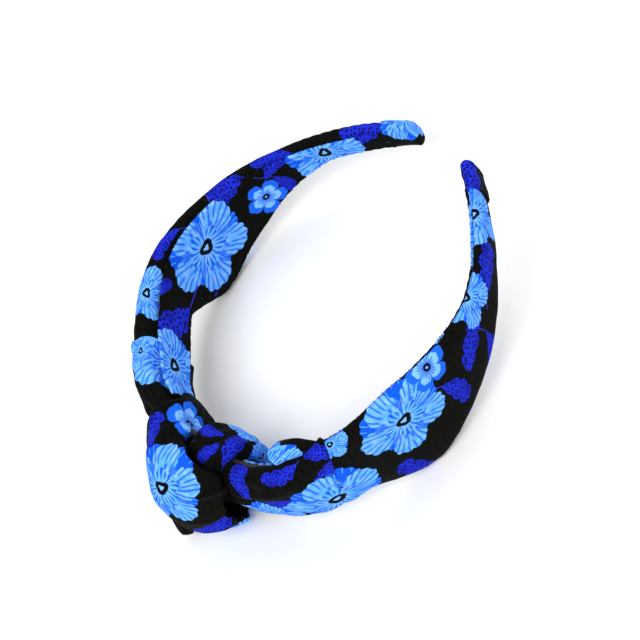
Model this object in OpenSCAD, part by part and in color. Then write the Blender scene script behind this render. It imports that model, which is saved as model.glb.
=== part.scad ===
// Knotted headband: a springy plastic hoop, padded and covered in printed cloth,
// with the two cloth panels looped round each other in a knot at the crown.
//
// The hoop runs in a plane parallel to XY, with the knot on -Y and the open tips
// on +Y. +Z is the edge of the band that faces forward on the head, and the band
// stands on its rear edge at z = 0. The right arm is on +X. The origin is under the
// middle of the whole piece.

/* [Hoop line] */
// Length of the flat stretch from the crown's middle
crown_len = 20; // [16:1:26]
// Radius of the crown stretch
crown_r = 130; // [110:5:180]
// Length of the shoulder stretch beside the knot
shoulder_len = 50; // [46:1:52]
// Radius of the shoulder stretch
shoulder_r = 51; // [49:1:55]
// Length of the side stretch over the temple
side_len = 45; // [40:1:50]
// Radius of the side stretch
side_r = 86; // [78:1:96]
// Length of the stretch behind the ear
ear_len = 45; // [40:1:48]
// Radius of the stretch behind the ear
ear_r = 64; // [60:1:72]
// Length of the nearly straight tip stretch
tip_len = 40; // [36:1:44]
// Radius of the tip stretch
tip_r = 155; // [140:5:200]

/* [Hoop] */
// Thickness of the plastic hoop
hoop_t = 1.4; // [1:0.1:1.5]
// Width of the plastic hoop at the crown
hoop_w = 20; // [16:1:20]
// Width of the plastic hoop at its tips
hoop_tip_w = 7.5; // [6:0.5:8]

/* [Cover] */
// Thickness of the cloth with its interlining
cloth_t = 0.8; // [0.5:0.1:0.9]
// Highest point of the band's front edge above its rear edge
front_top = 43.5; // [42:0.5:46]
// Width of the turned hem under the lining on the wide part
hem_w = 7; // [5:0.5:8]
// How far the gathered neck stands out from the hoop
neck_out = 8; // [6:0.5:9]

/* [Knot] */
// Distance of the knot's outermost point from the hoop line
knot_out = 30.5; // [27:0.5:33]
// Width of the big loop along the band
big_loop_w = 24; // [18:1:25]
// Width of the small loop along the band
small_loop_w = 22; // [16:1:23]

/* [Stitches] */
// Diameter of the sewing thread
thread_d = 0.5; // [0.3:0.1:0.6]
// Distance from one hem stitch to the next
stitch_pitch = 4; // [3:0.5:6]

/* [Hidden] */

gap = 0.1;              // clearance between cloth layers that lie on each other
ring_step = 6;          // distance between two sections along an arm
lining_t = cloth_t;

arc_lens = [crown_len, shoulder_len, side_len, ear_len, tip_len];
arc_rads = [crown_r, shoulder_r, side_r, ear_r, tip_r];
half_len = crown_len + shoulder_len + side_len + ear_len + tip_len;

// Stations along an arm, measured along the hoop line from the crown's middle.
neck_start = 16;        // where the cover comes out of the knot
neck_mid = 44;          // fullest part of the gathered neck
neck_end = 60;          // where the neck starts to widen
notch_at = 69;          // deepest point of the tuck beside the wide part
corner_at = 86;         // corner where the rear edge reaches its full width
wide_end = 94;          // end of the full width
cover_end = half_len - 2;
lining_start = 18;
lining_end = half_len - 10;
tip_wrap_start = half_len - 13;
tip_wrap_end = half_len + 0.5;

// Each table pairs a station with a value. Values between are straight runs.
front_z = [[neck_start, 37], [30, 40], [neck_mid, 42], [corner_at, front_top],
           [wide_end, front_top - 0.5], [120, 37.5], [140, 33], [160, 31.5], [half_len, 31]];
rear_z = [[neck_start, 13], [30, 11], [neck_end, 11], [notch_at, 15], [corner_at, 0],
          [wide_end, 0], [120, 7.5], [140, 14], [160, 19.5], [half_len, 20]];
outer_n = [[neck_start, neck_out - 1], [neck_mid, neck_out], [notch_at, 4.6],
           [corner_at, 2.6], [120, 2.5], [half_len, 1.9]];
wall_t = [[neck_start, 3], [neck_mid, 3.5], [notch_at, 2], [corner_at, cloth_t],
          [half_len, cloth_t]];
hem_z = [[neck_start, 6], [notch_at, 5], [corner_at, hem_w], [120, hem_w], [160, 2.6],
         [half_len, 2.4]];
lining_rear_z = [[lining_start, 22], [36, 22], [neck_end, 20], [76, 18], [corner_at, 2],
                 [wide_end, 1], [120, 8.5], [140, 15], [160, 20.5], [half_len, 21]];
hoop_mid_z = [[0, 25], [notch_at, 26.5], [wide_end, 23], [140, 23.5], [half_len, 25.5]];
hoop_widths = [[0, hoop_w], [wide_end, hoop_w], [150, 9.5], [half_len, hoop_tip_w]];

// The knot's two loops are rings that stand across the band. Their Y counts from the
// hoop line at the crown.
big_wall = 6;                       // wall of the big loop
big_in = 10.5;                      // how far its inner side stands into the opening
big_y = (big_in - knot_out) / 2;    // middle of its ring in Y
big_ry = (big_in + knot_out) / 2 - big_wall / 2;
big_rz = 20.3;
big_x = -2;                         // middle of its ring in X
big_slant = 9;                      // how far it leans along the band
small_wall = 5;
small_y = 1;
small_ry = 10;
small_rz = 18.5;
small_x = 19.5;
small_slant = 6;
knot_z = 22.8;                      // height of both rings' middles
loop_rings = 28;
loop_sides = 12;

// Bunched cloth and wadding inside the knot.
core_r = 6;
core_x = [-5, 7];
core_z = [17, 30];
core_in_y = -8;
core_out_y = -16;

// End of the left panel, tucked up under the big loop.
tuck_r = 2.6;
tuck_ends = [[0, -28.5, 7.5], [8, -29.5, 7.5]];
tuck_out = 29.5 + tuck_r;

tack_z = [16, 22, 28];
tack_x = [-1, 4];
tack_play = 3;                      // from the big loop's inner side to the tacks

// Place and heading [x, y, angle] at the end of a stretch with radius r and length d.
function step_on(p, d, r) =
    let (turn = d / r * 180 / PI, a = p[2] + turn)
    [p[0] + r * (sin(a) - sin(p[2])), p[1] - r * (cos(a) - cos(p[2])), a];

// Place and heading on the hoop line at station s, from the crown's middle.
function spot(s, i = 0, p = [0, 0, 0]) =
    (i == len(arc_lens) - 1 || s <= arc_lens[i])
        ? step_on(p, s, arc_rads[i])
        : spot(s - arc_lens[i], i + 1, step_on(p, arc_lens[i], arc_rads[i]));

// The crown's place, so that the origin is midway from the tuck to the tips.
tip_spot = spot(tip_wrap_end);
tip_out = lookup(half_len, outer_n) + gap + cloth_t;
crown_y = (tuck_out - tip_spot[1] + tip_out * cos(tip_spot[2])) / 2;

// Point at station s, n outward from the hoop line and z up. s < 0 is the left arm.
function at(s, n, z) =
    let (p = spot(abs(s)), side = s < 0 ? -1 : 1)
    [side * (p[0] + n * sin(p[2])), crown_y + p[1] - n * cos(p[2]), z];

// Evenly spaced stations from a to b.
function stations(a, b) =
    let (count = ceil((b - a) / ring_step))
    [for (i = [0:count]) a + (b - a) * i / count];

// A section is a list of [n, z] points that runs round anticlockwise seen from the tip.
function rect_section(n0, n1, z0, z1) = [[n0, z0], [n1, z0], [n1, z1], [n0, z1]];

// The cover's section: a C with its open side to the head and a hem on each lip. The
// outer points come first, then the inner ones in the opposite order, one for each.
function cover_section(s) =
    let (zf = lookup(s, front_z), zr = lookup(s, rear_z), out = lookup(s, outer_n),
         t = lookup(s, wall_t), hem = lookup(s, hem_z), in = -hoop_t - gap - cloth_t,
         zq = (3 * zr + zf) / 4, zp = (zr + 3 * zf) / 4, r = min(1.6, (out - in) * 0.35),
         e = cloth_t, near = in + e, far = out - t)
    [[in, zr + hem], [in, zr + r], [in + r * 0.7, zr], [out - r, zr], [out - r * 0.2, zr + r],
     [out, zq], [out, zp],
     [out - r * 0.2, zf - r], [out - r, zf], [in + r * 0.7, zf], [in, zf - r], [in, zf - hem],
     [near, zf - hem], [near, zf - r], [near, zf - e], [far - r * 0.2, zf - e], [far, zf - r],
     [far, zp], [far, zq],
     [far, zr + r], [far - r * 0.2, zr + e], [near, zr + e], [near, zr + r], [near, zr + hem]];

function wadding_section(s) =
    let (out = lookup(s, outer_n) - lookup(s, wall_t) - gap)
    rect_section(gap, out, lookup(s, rear_z) + cloth_t + gap, lookup(s, front_z) - cloth_t - gap);

function hoop_section(s) =
    let (mid = lookup(s, hoop_mid_z), w = lookup(s, hoop_widths))
    rect_section(-hoop_t, 0, mid - w / 2, mid + w / 2);

function lining_section(s) =
    let (in = -hoop_t - 2 * gap - cloth_t)
    rect_section(in - lining_t, in, lookup(s, lining_rear_z), lookup(s, front_z) - 1);

// The tip wrap's section: a rounded box with the given play all round the covered tip.
function tip_section(s, play) =
    let (zf = lookup(s, front_z) + play, zr = lookup(s, rear_z) - play,
         out = lookup(s, outer_n) + play, in = -hoop_t - 2 * gap - cloth_t - lining_t - play, r = 1)
    [[in, zr + r], [in + r, zr], [out - r, zr], [out, zr + r],
     [out, zf - r], [out - r, zf], [in + r, zf], [in, zf - r]];

// Solid through rings of points. Every ring has the same even number of points. An end
// is closed by a strip that joins each point to the one the same way from the ring's end,
// so a C-shaped ring needs its outer points first and its inner ones in reverse.
module loft(rings, closed = false) {
    n = len(rings[0]);
    count = len(rings);
    sides = [for (j = [0:count - (closed ? 1 : 2)]) for (i = [0:n - 1])
        let (a = j * n + i, b = j * n + (i + 1) % n, k = (j + 1) % count,
             c = k * n + (i + 1) % n, d = k * n + i)
        each [[a, b, c], [a, c, d]]];
    strip = [for (i = [0:n / 2 - 2]) each [[i, n - 1 - i, i + 1], [i + 1, n - 1 - i, n - 2 - i]]];
    far = (count - 1) * n;
    caps = closed ? [] : concat(strip, [for (f = strip) [far + f[0], far + f[2], far + f[1]]]);
    polyhedron(points = [for (ring = rings) each ring], faces = concat(sides, caps), convexity = 6);
}

// The left arm mirrors the right one.
module arm(left) {
    mirror([left ? 1 : 0, 0, 0]) children();
}

// Brings a piece drawn about the crown to its place.
module at_crown() {
    translate([0, crown_y, 0]) children();
}

// Thread from p to q as a short straight stitch.
module stitch(p, q) {
    d = q - p;
    h = norm(d);
    translate(p)
        rotate([0, acos(d[2] / h), atan2(d[1], d[0])])
            cylinder(h = h, d = thread_d, $fn = 16);
}

// Everything above the plane that the headband stands on.
module above_ground() {
    size = 400;
    intersection() {
        children();
        translate([-size / 2, -size / 2, 0]) cube(size);
    }
}

module hoop() {
    reach = half_len - 3;
    count = 2 * ceil(reach / ring_step);
    color("gainsboro")
        loft([for (i = [0:count]) let (s = -reach + 2 * reach * i / count)
              [for (p = hoop_section(abs(s))) at(s, p[0], p[1])]]);
}

module wadding(left) {
    color("white") arm(left)
        loft([for (s = stations(neck_start + 1, cover_end - 2))
              [for (p = wadding_section(s)) at(s, p[0], p[1])]]);
}

module cover(left) {
    color("midnightblue") arm(left)
        loft([for (s = concat(stations(neck_start, notch_at), stations(notch_at + 3, corner_at),
                              stations(wide_end, cover_end)))
              [for (p = cover_section(s)) at(s, p[0], p[1])]]);
}

module lining(left) {
    color("royalblue") arm(left)
        loft([for (s = stations(lining_start, lining_end))
              [for (p = lining_section(s)) at(s, p[0], p[1])]]);
}

module tip_wrap(left) {
    mid = (tip_wrap_start + tip_wrap_end) / 2;
    color("cornflowerblue") arm(left)
        difference() {
            loft([for (s = [tip_wrap_start, mid, tip_wrap_end])
                  [for (p = tip_section(s, gap + cloth_t)) at(s, p[0], p[1])]]);
            loft([for (s = [tip_wrap_start - 1, mid, tip_wrap_end - cloth_t])
                  [for (p = tip_section(s, gap)) at(s, p[0], p[1])]]);
        }
}

// Ring of cloth that stands across the band: mid is its middle, ry and rz its radii,
// w its width along the band and slant how far it leans from the inner to the outer side.
module cloth_loop(mid, ry, rz, wall, w_in, w_out, slant) {
    loft([for (j = [0:loop_rings - 1])
          let (a = 360 * j / loop_rings, w = w_in + (w_out - w_in) * (1 - cos(a)) / 2)
          [for (i = [0:loop_sides - 1])
           let (b = 360 * i / loop_sides, reach = wall / 2 * cos(b))
           [mid[0] - slant * cos(a) + w / 2 * sign(sin(b)) * pow(abs(sin(b)), 0.6),
            mid[1] + (ry + reach) * cos(a), mid[2] + (rz + reach) * sin(a)]]], closed = true);
}

module knot_loop_right() {
    color("navy") above_ground() at_crown()
        cloth_loop([big_x, big_y, knot_z], big_ry, big_rz, big_wall,
                   big_loop_w - 5, big_loop_w, big_slant);
}

module knot_loop_left() {
    color("mediumblue") above_ground() at_crown()
        cloth_loop([small_x, small_y, knot_z], small_ry, small_rz, small_wall,
                   small_loop_w, small_loop_w * 0.6, small_slant);
}

module knot_core() {
    color("black") at_crown() hull()
        for (x = core_x) for (z = core_z) {
            translate([x, core_in_y, z]) sphere(r = core_r, $fn = 24);
            translate([x + 2, core_out_y, z]) sphere(r = core_r - 1, $fn = 24);
        }
}

module knot_tuck() {
    color("midnightblue") at_crown() hull()
        for (p = tuck_ends) translate(p) sphere(r = tuck_r, $fn = 20);
}

// Slanting stitches along both edges of the lining, from the wide part to the tip.
module hem_stitches(left) {
    n = -hoop_t - 2 * gap - cloth_t - lining_t - thread_d;
    lean = 0.8;
    reach = 2.2;
    color("darkblue") arm(left)
        for (s = [wide_end:stitch_pitch:tip_wrap_start - 3]) {
            zf = lookup(s, front_z) - 1.4;
            zr = lookup(s, lining_rear_z) + 0.4;
            stitch(at(s, n, zf), at(s + lean, n, zf - reach));
            stitch(at(s, n, zr), at(s + lean, n, zr + reach));
        }
}

// Stitches that hold the tip wrap's edge to the lining.
module tip_stitches(left) {
    n = -hoop_t - 3 * gap - 2 * cloth_t - lining_t - thread_d;
    count = 4;
    pitch = 2.1;
    first = lookup(tip_wrap_start, rear_z) + 2.4;
    color("royalblue") arm(left)
        for (i = [0:count - 1]) {
            z = first + i * pitch;
            stitch(at(tip_wrap_start - 1.6, n, z), at(tip_wrap_start + 1.4, n, z));
        }
}

// Stitches across the neck that hold the gathers where the wide part starts.
module tuck_stitches(left) {
    count = 7;
    pitch = 3;
    first = lookup(notch_at, rear_z) + 4;
    half = 1.2;
    n = lookup(notch_at, outer_n) + thread_d;
    color("darkblue") arm(left)
        for (i = [0:count - 1]) {
            z = first + i * pitch;
            stitch(at(notch_at - half, n + 0.2, z), at(notch_at + half, n, z));
        }
}

// Tacks that join the two loops on the inner side of the knot.
module knot_tacks() {
    y = big_in + tack_play;
    color("darkblue") at_crown()
        for (z = tack_z) stitch([tack_x[0], y, z], [tack_x[1], y, z]);
}

hoop();
wadding(true);  // wadding_left
wadding(false);  // wadding_right
cover(true);  // cover_left
cover(false);  // cover_right
lining(true);  // lining_left
lining(false);  // lining_right
tip_wrap(true);  // tip_wrap_left
tip_wrap(false);  // tip_wrap_right
knot_loop_right();
knot_loop_left();
knot_core();
knot_tuck();
hem_stitches(true);  // hem_stitches_left
hem_stitches(false);  // hem_stitches_right
tip_stitches(true);  // tip_stitches_left
tip_stitches(false);  // tip_stitches_right
tuck_stitches(true);  // tuck_stitches_left
tuck_stitches(false);  // tuck_stitches_right
knot_tacks();
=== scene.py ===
"""Looks of a knotted headband: cloth-covered hoop, two looped panels and their sewing.

Every size is in millimetres until a mesh is made, and the frame is the one of the CAD
model: the knot on -Y, the open tips on +Y, the rear edge on z = 0.
"""

import logging
import math
from dataclasses import dataclass, field
from enum import Enum
from typing import Callable, Sequence

import bpy
import numpy as np
from mathutils import Matrix, Vector


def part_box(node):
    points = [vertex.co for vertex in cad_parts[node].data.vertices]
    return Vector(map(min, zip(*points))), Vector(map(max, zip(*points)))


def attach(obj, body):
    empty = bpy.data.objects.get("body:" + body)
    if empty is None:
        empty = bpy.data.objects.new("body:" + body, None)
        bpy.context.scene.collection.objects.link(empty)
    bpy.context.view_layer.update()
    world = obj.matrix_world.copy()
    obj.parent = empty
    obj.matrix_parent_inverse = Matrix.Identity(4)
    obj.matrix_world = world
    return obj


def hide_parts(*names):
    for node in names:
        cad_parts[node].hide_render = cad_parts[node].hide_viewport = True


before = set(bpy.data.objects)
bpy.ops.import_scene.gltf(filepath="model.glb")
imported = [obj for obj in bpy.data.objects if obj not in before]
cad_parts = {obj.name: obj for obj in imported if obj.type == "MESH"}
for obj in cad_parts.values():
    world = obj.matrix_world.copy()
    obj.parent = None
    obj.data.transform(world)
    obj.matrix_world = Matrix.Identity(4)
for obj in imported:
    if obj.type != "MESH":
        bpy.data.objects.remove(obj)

LOG = logging.getLogger("headband")
MM = 0.001
BODY = "root"
CLOTH_UV = "Cloth"
FAR_AWAY = 9.0  # local coordinate of a face that no motif reaches
NEARLY_ALONG_X = 0.3  # below this share of X, a motif is laid out from Y instead
FACES_AWAY = -0.35  # cosine past which a face is too far round for a motif
HEM_PITCH = 4.2  # distance between two puckers of a hem, in millimetres
SECTION_STEPS = 721  # points of a section before it is evened out
PETALS = 5  # petals of every printed flower
FULL_TURN = 2 * math.pi

Array = np.ndarray


class Side(Enum):
    """An arm of the band, with the sign of its X."""

    LEFT = -1
    RIGHT = 1

    @property
    def word(self) -> str:
        """The side's name as the CAD nodes spell it."""
        return self.name.lower()


class Layer(Enum):
    """A kind of printed motif, with the UV map that carries its local coordinates."""

    BIG = "BigFlower"
    SMALL = "SmallFlower"
    LEAF = "LobedLeaf"
    DROP = "DropLeaf"


class Wrap(Enum):
    """How a motif lies on a piece: by the cloth's own grid, or round a bulging form."""

    FLAT = "flat"
    ROUND = "round"


# ---------------------------------------------------------------- small helpers


def linear(code: str) -> tuple[float, float, float, float]:
    """Turns an sRGB hex colour into linear RGBA.

    Args:
        code: Six hex digits with a leading hash.

    Returns:
        Linear red, green, blue and an alpha of one.
    """
    parts = [int(code[i : i + 2], 16) / 255 for i in (1, 3, 5)]
    lin = [c / 12.92 if c <= 0.04045 else ((c + 0.055) / 1.055) ** 2.4 for c in parts]
    return (lin[0], lin[1], lin[2], 1.0)


def wander(a: Array, b: Array, seed: int, octaves: int = 3) -> Array:
    """A smooth value that wanders between about -1 and 1.

    Args:
        a: First coordinate, in wavelengths.
        b: Second coordinate, in wavelengths.
        seed: Seed of the fixed waves.
        octaves: Number of finer layers.

    Returns:
        One value for each coordinate pair.
    """
    rng = np.random.default_rng(seed)
    total, weight = np.zeros(np.broadcast(a, b).shape), 0.0
    for octave in range(octaves):
        pitch = 2.0**octave
        for _ in range(4):
            angle, phase = rng.uniform(0, FULL_TURN, 2)
            total += np.sin(
                FULL_TURN * pitch * (a * math.cos(angle) + b * math.sin(angle)) + phase
            ) / (2 * pitch)
        weight += 1 / pitch
    return total / weight


def bell(x: Array, middle: float, spread: float) -> Array:
    """A smooth hump of height one round a middle."""
    return np.exp(-(((x - middle) / spread) ** 2))


def ease(x: Array, start: float, end: float) -> Array:
    """A smooth step from zero at start to one at end."""
    t = np.clip((x - start) / (end - start), 0, 1)
    return t * t * (3 - 2 * t)


def signed_power(x: Array, power: float | Array) -> Array:
    """Raises the size of x to a power and keeps its sign."""
    return np.sign(x) * np.abs(x) ** power


@dataclass(frozen=True)
class Profile:
    """A size that changes along a line, with its corners softened.

    Attributes:
        points: Pairs of a station and a value.
        soften: Half the length over which a corner is rounded.
    """

    points: tuple[tuple[float, float], ...]
    soften: float = 3.0

    def __call__(self, station: Array | float) -> Array:
        """Gives the size at a station or at an array of stations.

        Args:
            station: One station, or an array of them.

        Returns:
            The softened size at each.
        """
        xs, ys = zip(*self.points)
        steps = np.linspace(-self.soften, self.soften, 9)
        return np.mean([np.interp(np.asarray(station) + d, xs, ys) for d in steps], axis=0)


@dataclass(frozen=True)
class HoopLine:
    """The hoop's line: arcs from the crown's middle to a tip.

    Attributes:
        crown_y: Place of the crown along Y.
        lengths: Length of each arc.
        radii: Radius of each arc.
    """

    crown_y: float
    lengths: tuple[float, ...] = (20.0, 50.0, 45.0, 45.0, 40.0)
    radii: tuple[float, ...] = (130.0, 51.0, 86.0, 64.0, 155.0)

    def spot(self, station: Array) -> tuple[Array, Array, Array]:
        """Place and heading on the line.

        Args:
            station: Distances along the line from the crown.

        Returns:
            X and Y from the crown's middle, and the heading in radians.
        """
        left = np.asarray(station, float)
        x = y = turn = np.zeros_like(left)
        for i, (length, radius) in enumerate(zip(self.lengths, self.radii)):
            last = i == len(self.lengths) - 1
            run = np.maximum(left, 0) if last else np.clip(left, 0, length)
            after = turn + run / radius
            x = x + radius * (np.sin(after) - np.sin(turn))
            y = y - radius * (np.cos(after) - np.cos(turn))
            turn, left = after, left - length
        return x, y, turn

    def at(self, station: Array, out: Array, height: Array, side: Side) -> Array:
        """Points beside the line.

        Args:
            station: Distances along the line.
            out: Distances outward from the hoop's outer face.
            height: Heights above the floor.
            side: The arm.

        Returns:
            Points, with X, Y and Z last.
        """
        x, y, turn = self.spot(station)
        return np.stack(
            [
                side.value * (x + out * np.sin(turn)),
                self.crown_y + y - out * np.cos(turn),
                np.broadcast_to(height, np.broadcast(x, out, height).shape),
            ],
            axis=-1,
        )


def grid_normals(points: Array, around: bool) -> Array:
    """Unit normals of a grid of points.

    Args:
        points: Grid of points, rows by columns by three.
        around: Whether the last column meets the first.

    Returns:
        One normal for each point, on the side that the columns turn to.
    """
    down = np.gradient(points, axis=0)
    if around:
        across = (np.roll(points, -1, axis=1) - np.roll(points, 1, axis=1)) / 2
    else:
        across = np.gradient(points, axis=1)
    normal = np.cross(across, down)
    size = np.linalg.norm(normal, axis=-1, keepdims=True)
    return normal / np.maximum(size, 1e-9)


def outward_normals(points: Array, around: bool, away: Array) -> Array:
    """Normals of a grid, turned to point away from given places.

    Args:
        points: Grid of points.
        around: Whether the last column meets the first.
        away: Points inside the form, broadcast against the grid.

    Returns:
        One normal for each point.
    """
    normal = grid_normals(points, around)
    facing = np.sum(normal * (points - away), axis=-1)
    return normal if facing.mean() >= 0 else -normal


@dataclass
class ClothGrid:
    """A grid of points with its place on the flat cloth.

    Attributes:
        name: Name of the piece.
        points: Points, rows by columns by three, in millimetres.
        flat: Cloth coordinates, in millimetres. One more column than the points when
            the grid goes around.
        around: Whether the last column meets the first.
        inside: Points that the faces look away from.
        cap_first: Whether the first row is closed.
        cap_last: Whether the last row is closed.
    """

    name: str
    points: Array
    flat: Array
    around: bool
    inside: Array
    cap_first: bool = False
    cap_last: bool = False

    def make(self) -> bpy.types.Object:
        """Makes the mesh object, with outward faces and its cloth map.

        Returns:
            The new object, linked to the scene.
        """
        rows, cols = self.points.shape[:2]
        spans = cols if self.around else cols - 1
        r, c = np.meshgrid(np.arange(rows - 1), np.arange(spans), indexing="ij")
        c1 = (c + 1) % cols
        quads = np.stack([r * cols + c, r * cols + c1, (r + 1) * cols + c1, (r + 1) * cols + c], -1)
        flat = self.flat[:, : spans + 1]
        maps = np.stack([flat[:-1, :-1], flat[:-1, 1:], flat[1:, 1:], flat[1:, :-1]], axis=2)
        faces = quads.reshape(-1, 4).tolist()
        corners = maps.reshape(-1, 4, 2).tolist()
        points = self.points.reshape(-1, 3).tolist()
        for wanted, row, order in ((self.cap_first, 0, -1), (self.cap_last, rows - 1, 1)):
            if wanted:
                points.append(self.points[row].mean(0).tolist())
                middle = self.flat[row, :cols].mean(0).tolist()
                for j in range(spans):
                    a, b = row * cols + j, row * cols + (j + 1) % cols
                    ends = [self.flat[row, j].tolist(), self.flat[row, j + 1].tolist()]
                    faces.append([a, b, len(points) - 1][::order])
                    corners.append([ends[0], ends[1], middle][::order])
        normal = grid_normals(self.points, self.around)
        if np.sum(normal * (self.points - self.inside), axis=-1).mean() < 0:
            faces = [f[::-1] for f in faces]
            corners = [k[::-1] for k in corners]
        mesh = bpy.data.meshes.new(self.name)
        mesh.from_pydata((np.array(points) * MM).tolist(), [], faces)
        layer = mesh.uv_layers.new(name=CLOTH_UV)
        values = np.array([xy for face in corners for xy in face], np.float32)
        layer.data.foreach_set("uv", values.ravel())
        mesh.shade_smooth()
        mesh.update()
        piece = bpy.data.objects.new(self.name, mesh)
        bpy.context.scene.collection.objects.link(piece)
        return piece


def bake(piece: bpy.types.Object) -> bpy.types.Object:
    """Turns a piece and its modifiers into a plain mesh.

    Args:
        piece: The piece.

    Returns:
        The same piece, without modifiers.
    """
    graph = bpy.context.evaluated_depsgraph_get()
    mesh = bpy.data.meshes.new_from_object(
        piece.evaluated_get(graph), preserve_all_data_layers=True, depsgraph=graph
    )
    piece.modifiers.clear()
    piece.data = mesh
    mesh.name = piece.name
    return piece


def thicken(piece: bpy.types.Object, thickness: float) -> bpy.types.Object:
    """Gives a cloth surface its thickness, inward from its face.

    Args:
        piece: The surface.
        thickness: Thickness of the cloth in millimetres.

    Returns:
        The same piece, closed.
    """
    wall = piece.modifiers.new("Thickness", "SOLIDIFY")
    wall.thickness = thickness * MM
    wall.offset = -1
    wall.use_even_offset = False
    wall.use_quality_normals = True
    return bake(piece)


def above_floor(points: Array, gap: float) -> Array:
    """Lifts points that are lower than a gap above the floor.

    Args:
        points: The points, in millimetres.
        gap: Least height.

    Returns:
        The points, with the low ones lifted.
    """
    height = np.maximum(points[..., 2:], gap)
    return np.concatenate([points[..., :2], height], axis=-1)


def resample(outline: Array, count: int) -> tuple[Array, Array]:
    """Spreads points evenly along a line.

    Args:
        outline: Points along the line, two numbers each.
        count: Number of points wanted.

    Returns:
        The new points, and their distances along the line.
    """
    steps = np.linalg.norm(np.diff(outline, axis=0), axis=1)
    run = np.concatenate([[0], np.cumsum(steps)])
    places = np.linspace(0, run[-1], count)
    return np.stack([np.interp(places, run, outline[:, k]) for k in (0, 1)], -1), places


# ---------------------------------------------------------------- the print


@dataclass(frozen=True)
class Motif:
    """One printed flower or leaf, placed on the flat cloth.

    Attributes:
        layer: What it is.
        along: Place along the cloth.
        across: Place across the cloth.
        size: Half its width.
        turn: Turn in degrees.
    """

    layer: Layer
    along: float
    across: float
    size: float
    turn: float = 0.0

    def spun(self, offset: Array) -> Array:
        """Turns distances from the motif's middle into its own coordinates.

        Args:
            offset: Distances along and across, one pair a row.

        Returns:
            Local coordinates, in the motif's own sizes.
        """
        turn = math.radians(self.turn)
        along = offset[:, 0] * math.cos(turn) + offset[:, 1] * math.sin(turn)
        across = offset[:, 1] * math.cos(turn) - offset[:, 0] * math.sin(turn)
        return np.stack([along, across], -1) / self.size


@dataclass(frozen=True)
class Print:
    """The motifs that lie on one piece.

    Attributes:
        motifs: The motifs, in any order.
        wrap: How they lie on the piece.
        reach: How far a motif reaches, in its own sizes.
    """

    motifs: tuple[Motif, ...]
    wrap: Wrap = Wrap.FLAT
    reach: float = 2.4

    def lay(self, piece: bpy.types.Object) -> None:
        """Writes each layer's local coordinates to a UV map of the piece.

        Args:
            piece: The piece, with its cloth map.
        """
        mesh = piece.data
        count = len(mesh.loops)
        flat = np.zeros(count * 2, np.float32)
        mesh.uv_layers[CLOTH_UV].data.foreach_get("uv", flat)
        flat = flat.reshape(-1, 2).astype(float)
        starts = np.zeros(len(mesh.polygons), np.int64)
        totals = np.zeros(len(mesh.polygons), np.int64)
        mesh.polygons.foreach_get("loop_start", starts)
        mesh.polygons.foreach_get("loop_total", totals)
        face_of = np.repeat(np.arange(len(starts)), totals)
        corners = Corners(mesh)
        for layer in Layer:
            local = np.full((count, 2), FAR_AWAY)
            best = np.full(len(starts), self.reach)
            for motif in (m for m in self.motifs if m.layer is layer):
                if self.wrap is Wrap.FLAT:
                    offset = flat - (motif.along, motif.across)
                else:
                    offset = corners.unrolled(flat, motif)
                spun = motif.spun(offset)
                middle = np.add.reduceat(spun, starts) / totals[:, None]
                distance = np.linalg.norm(middle, axis=1)
                nearer = distance < best
                best[nearer] = distance[nearer]
                taken = nearer[face_of]
                local[taken] = spun[taken]
            target = mesh.uv_layers.new(name=layer.value)
            target.data.foreach_set("uv", local.astype(np.float32).ravel())
        mesh.uv_layers.active = mesh.uv_layers[CLOTH_UV]


class Corners:
    """Face corners of a mesh, as places and normals."""

    def __init__(self, mesh: bpy.types.Mesh) -> None:
        """Reads the corners of a mesh.

        Args:
            mesh: The mesh.
        """
        index = np.zeros(len(mesh.loops), np.int64)
        mesh.loops.foreach_get("vertex_index", index)
        places = np.zeros(len(mesh.vertices) * 3, np.float32)
        mesh.vertices.foreach_get("co", places)
        normals = np.zeros(len(mesh.vertices) * 3, np.float32)
        mesh.vertices.foreach_get("normal", normals)
        self.places = places.reshape(-1, 3)[index].astype(float) / MM
        self.normals = normals.reshape(-1, 3)[index].astype(float)

    def unrolled(self, flat: Array, motif: Motif) -> Array:
        """Coordinates round a motif, laid out as if the form were flat.

        Args:
            flat: Cloth coordinates of every corner.
            motif: The motif, whose place picks the corner it is centred on.

        Returns:
            Distances along and across from the motif's middle.
        """
        home = int(np.argmin(np.hypot(flat[:, 0] - motif.along, flat[:, 1] - motif.across)))
        out = self.normals[home]
        first = np.array([1.0, 0.0, 0.0]) - out * out[0]
        if np.linalg.norm(first) < NEARLY_ALONG_X:
            first = np.array([0.0, 1.0, 0.0]) - out * out[1]
        first /= np.linalg.norm(first)
        second = np.cross(out, first)
        step = self.places - self.places[home]
        plane = np.stack([step @ first, step @ second], -1)
        length = np.linalg.norm(plane, axis=1)
        true = np.linalg.norm(step, axis=1)
        plane *= (true / np.maximum(length, 1e-6))[:, None]
        plane[self.normals @ out < FACES_AWAY] = FAR_AWAY * motif.size
        return plane


# ---------------------------------------------------------------- node helpers


def add_node(tree: bpy.types.NodeTree, kind: str, **settings: object) -> bpy.types.Node:
    """Adds a node and sets its properties.

    Args:
        tree: The node tree.
        kind: Blender's name for the node.
        **settings: Properties of the node.

    Returns:
        The node.
    """
    node = tree.nodes.new(kind)
    for key, value in settings.items():
        setattr(node, key, value)
    return node


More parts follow.
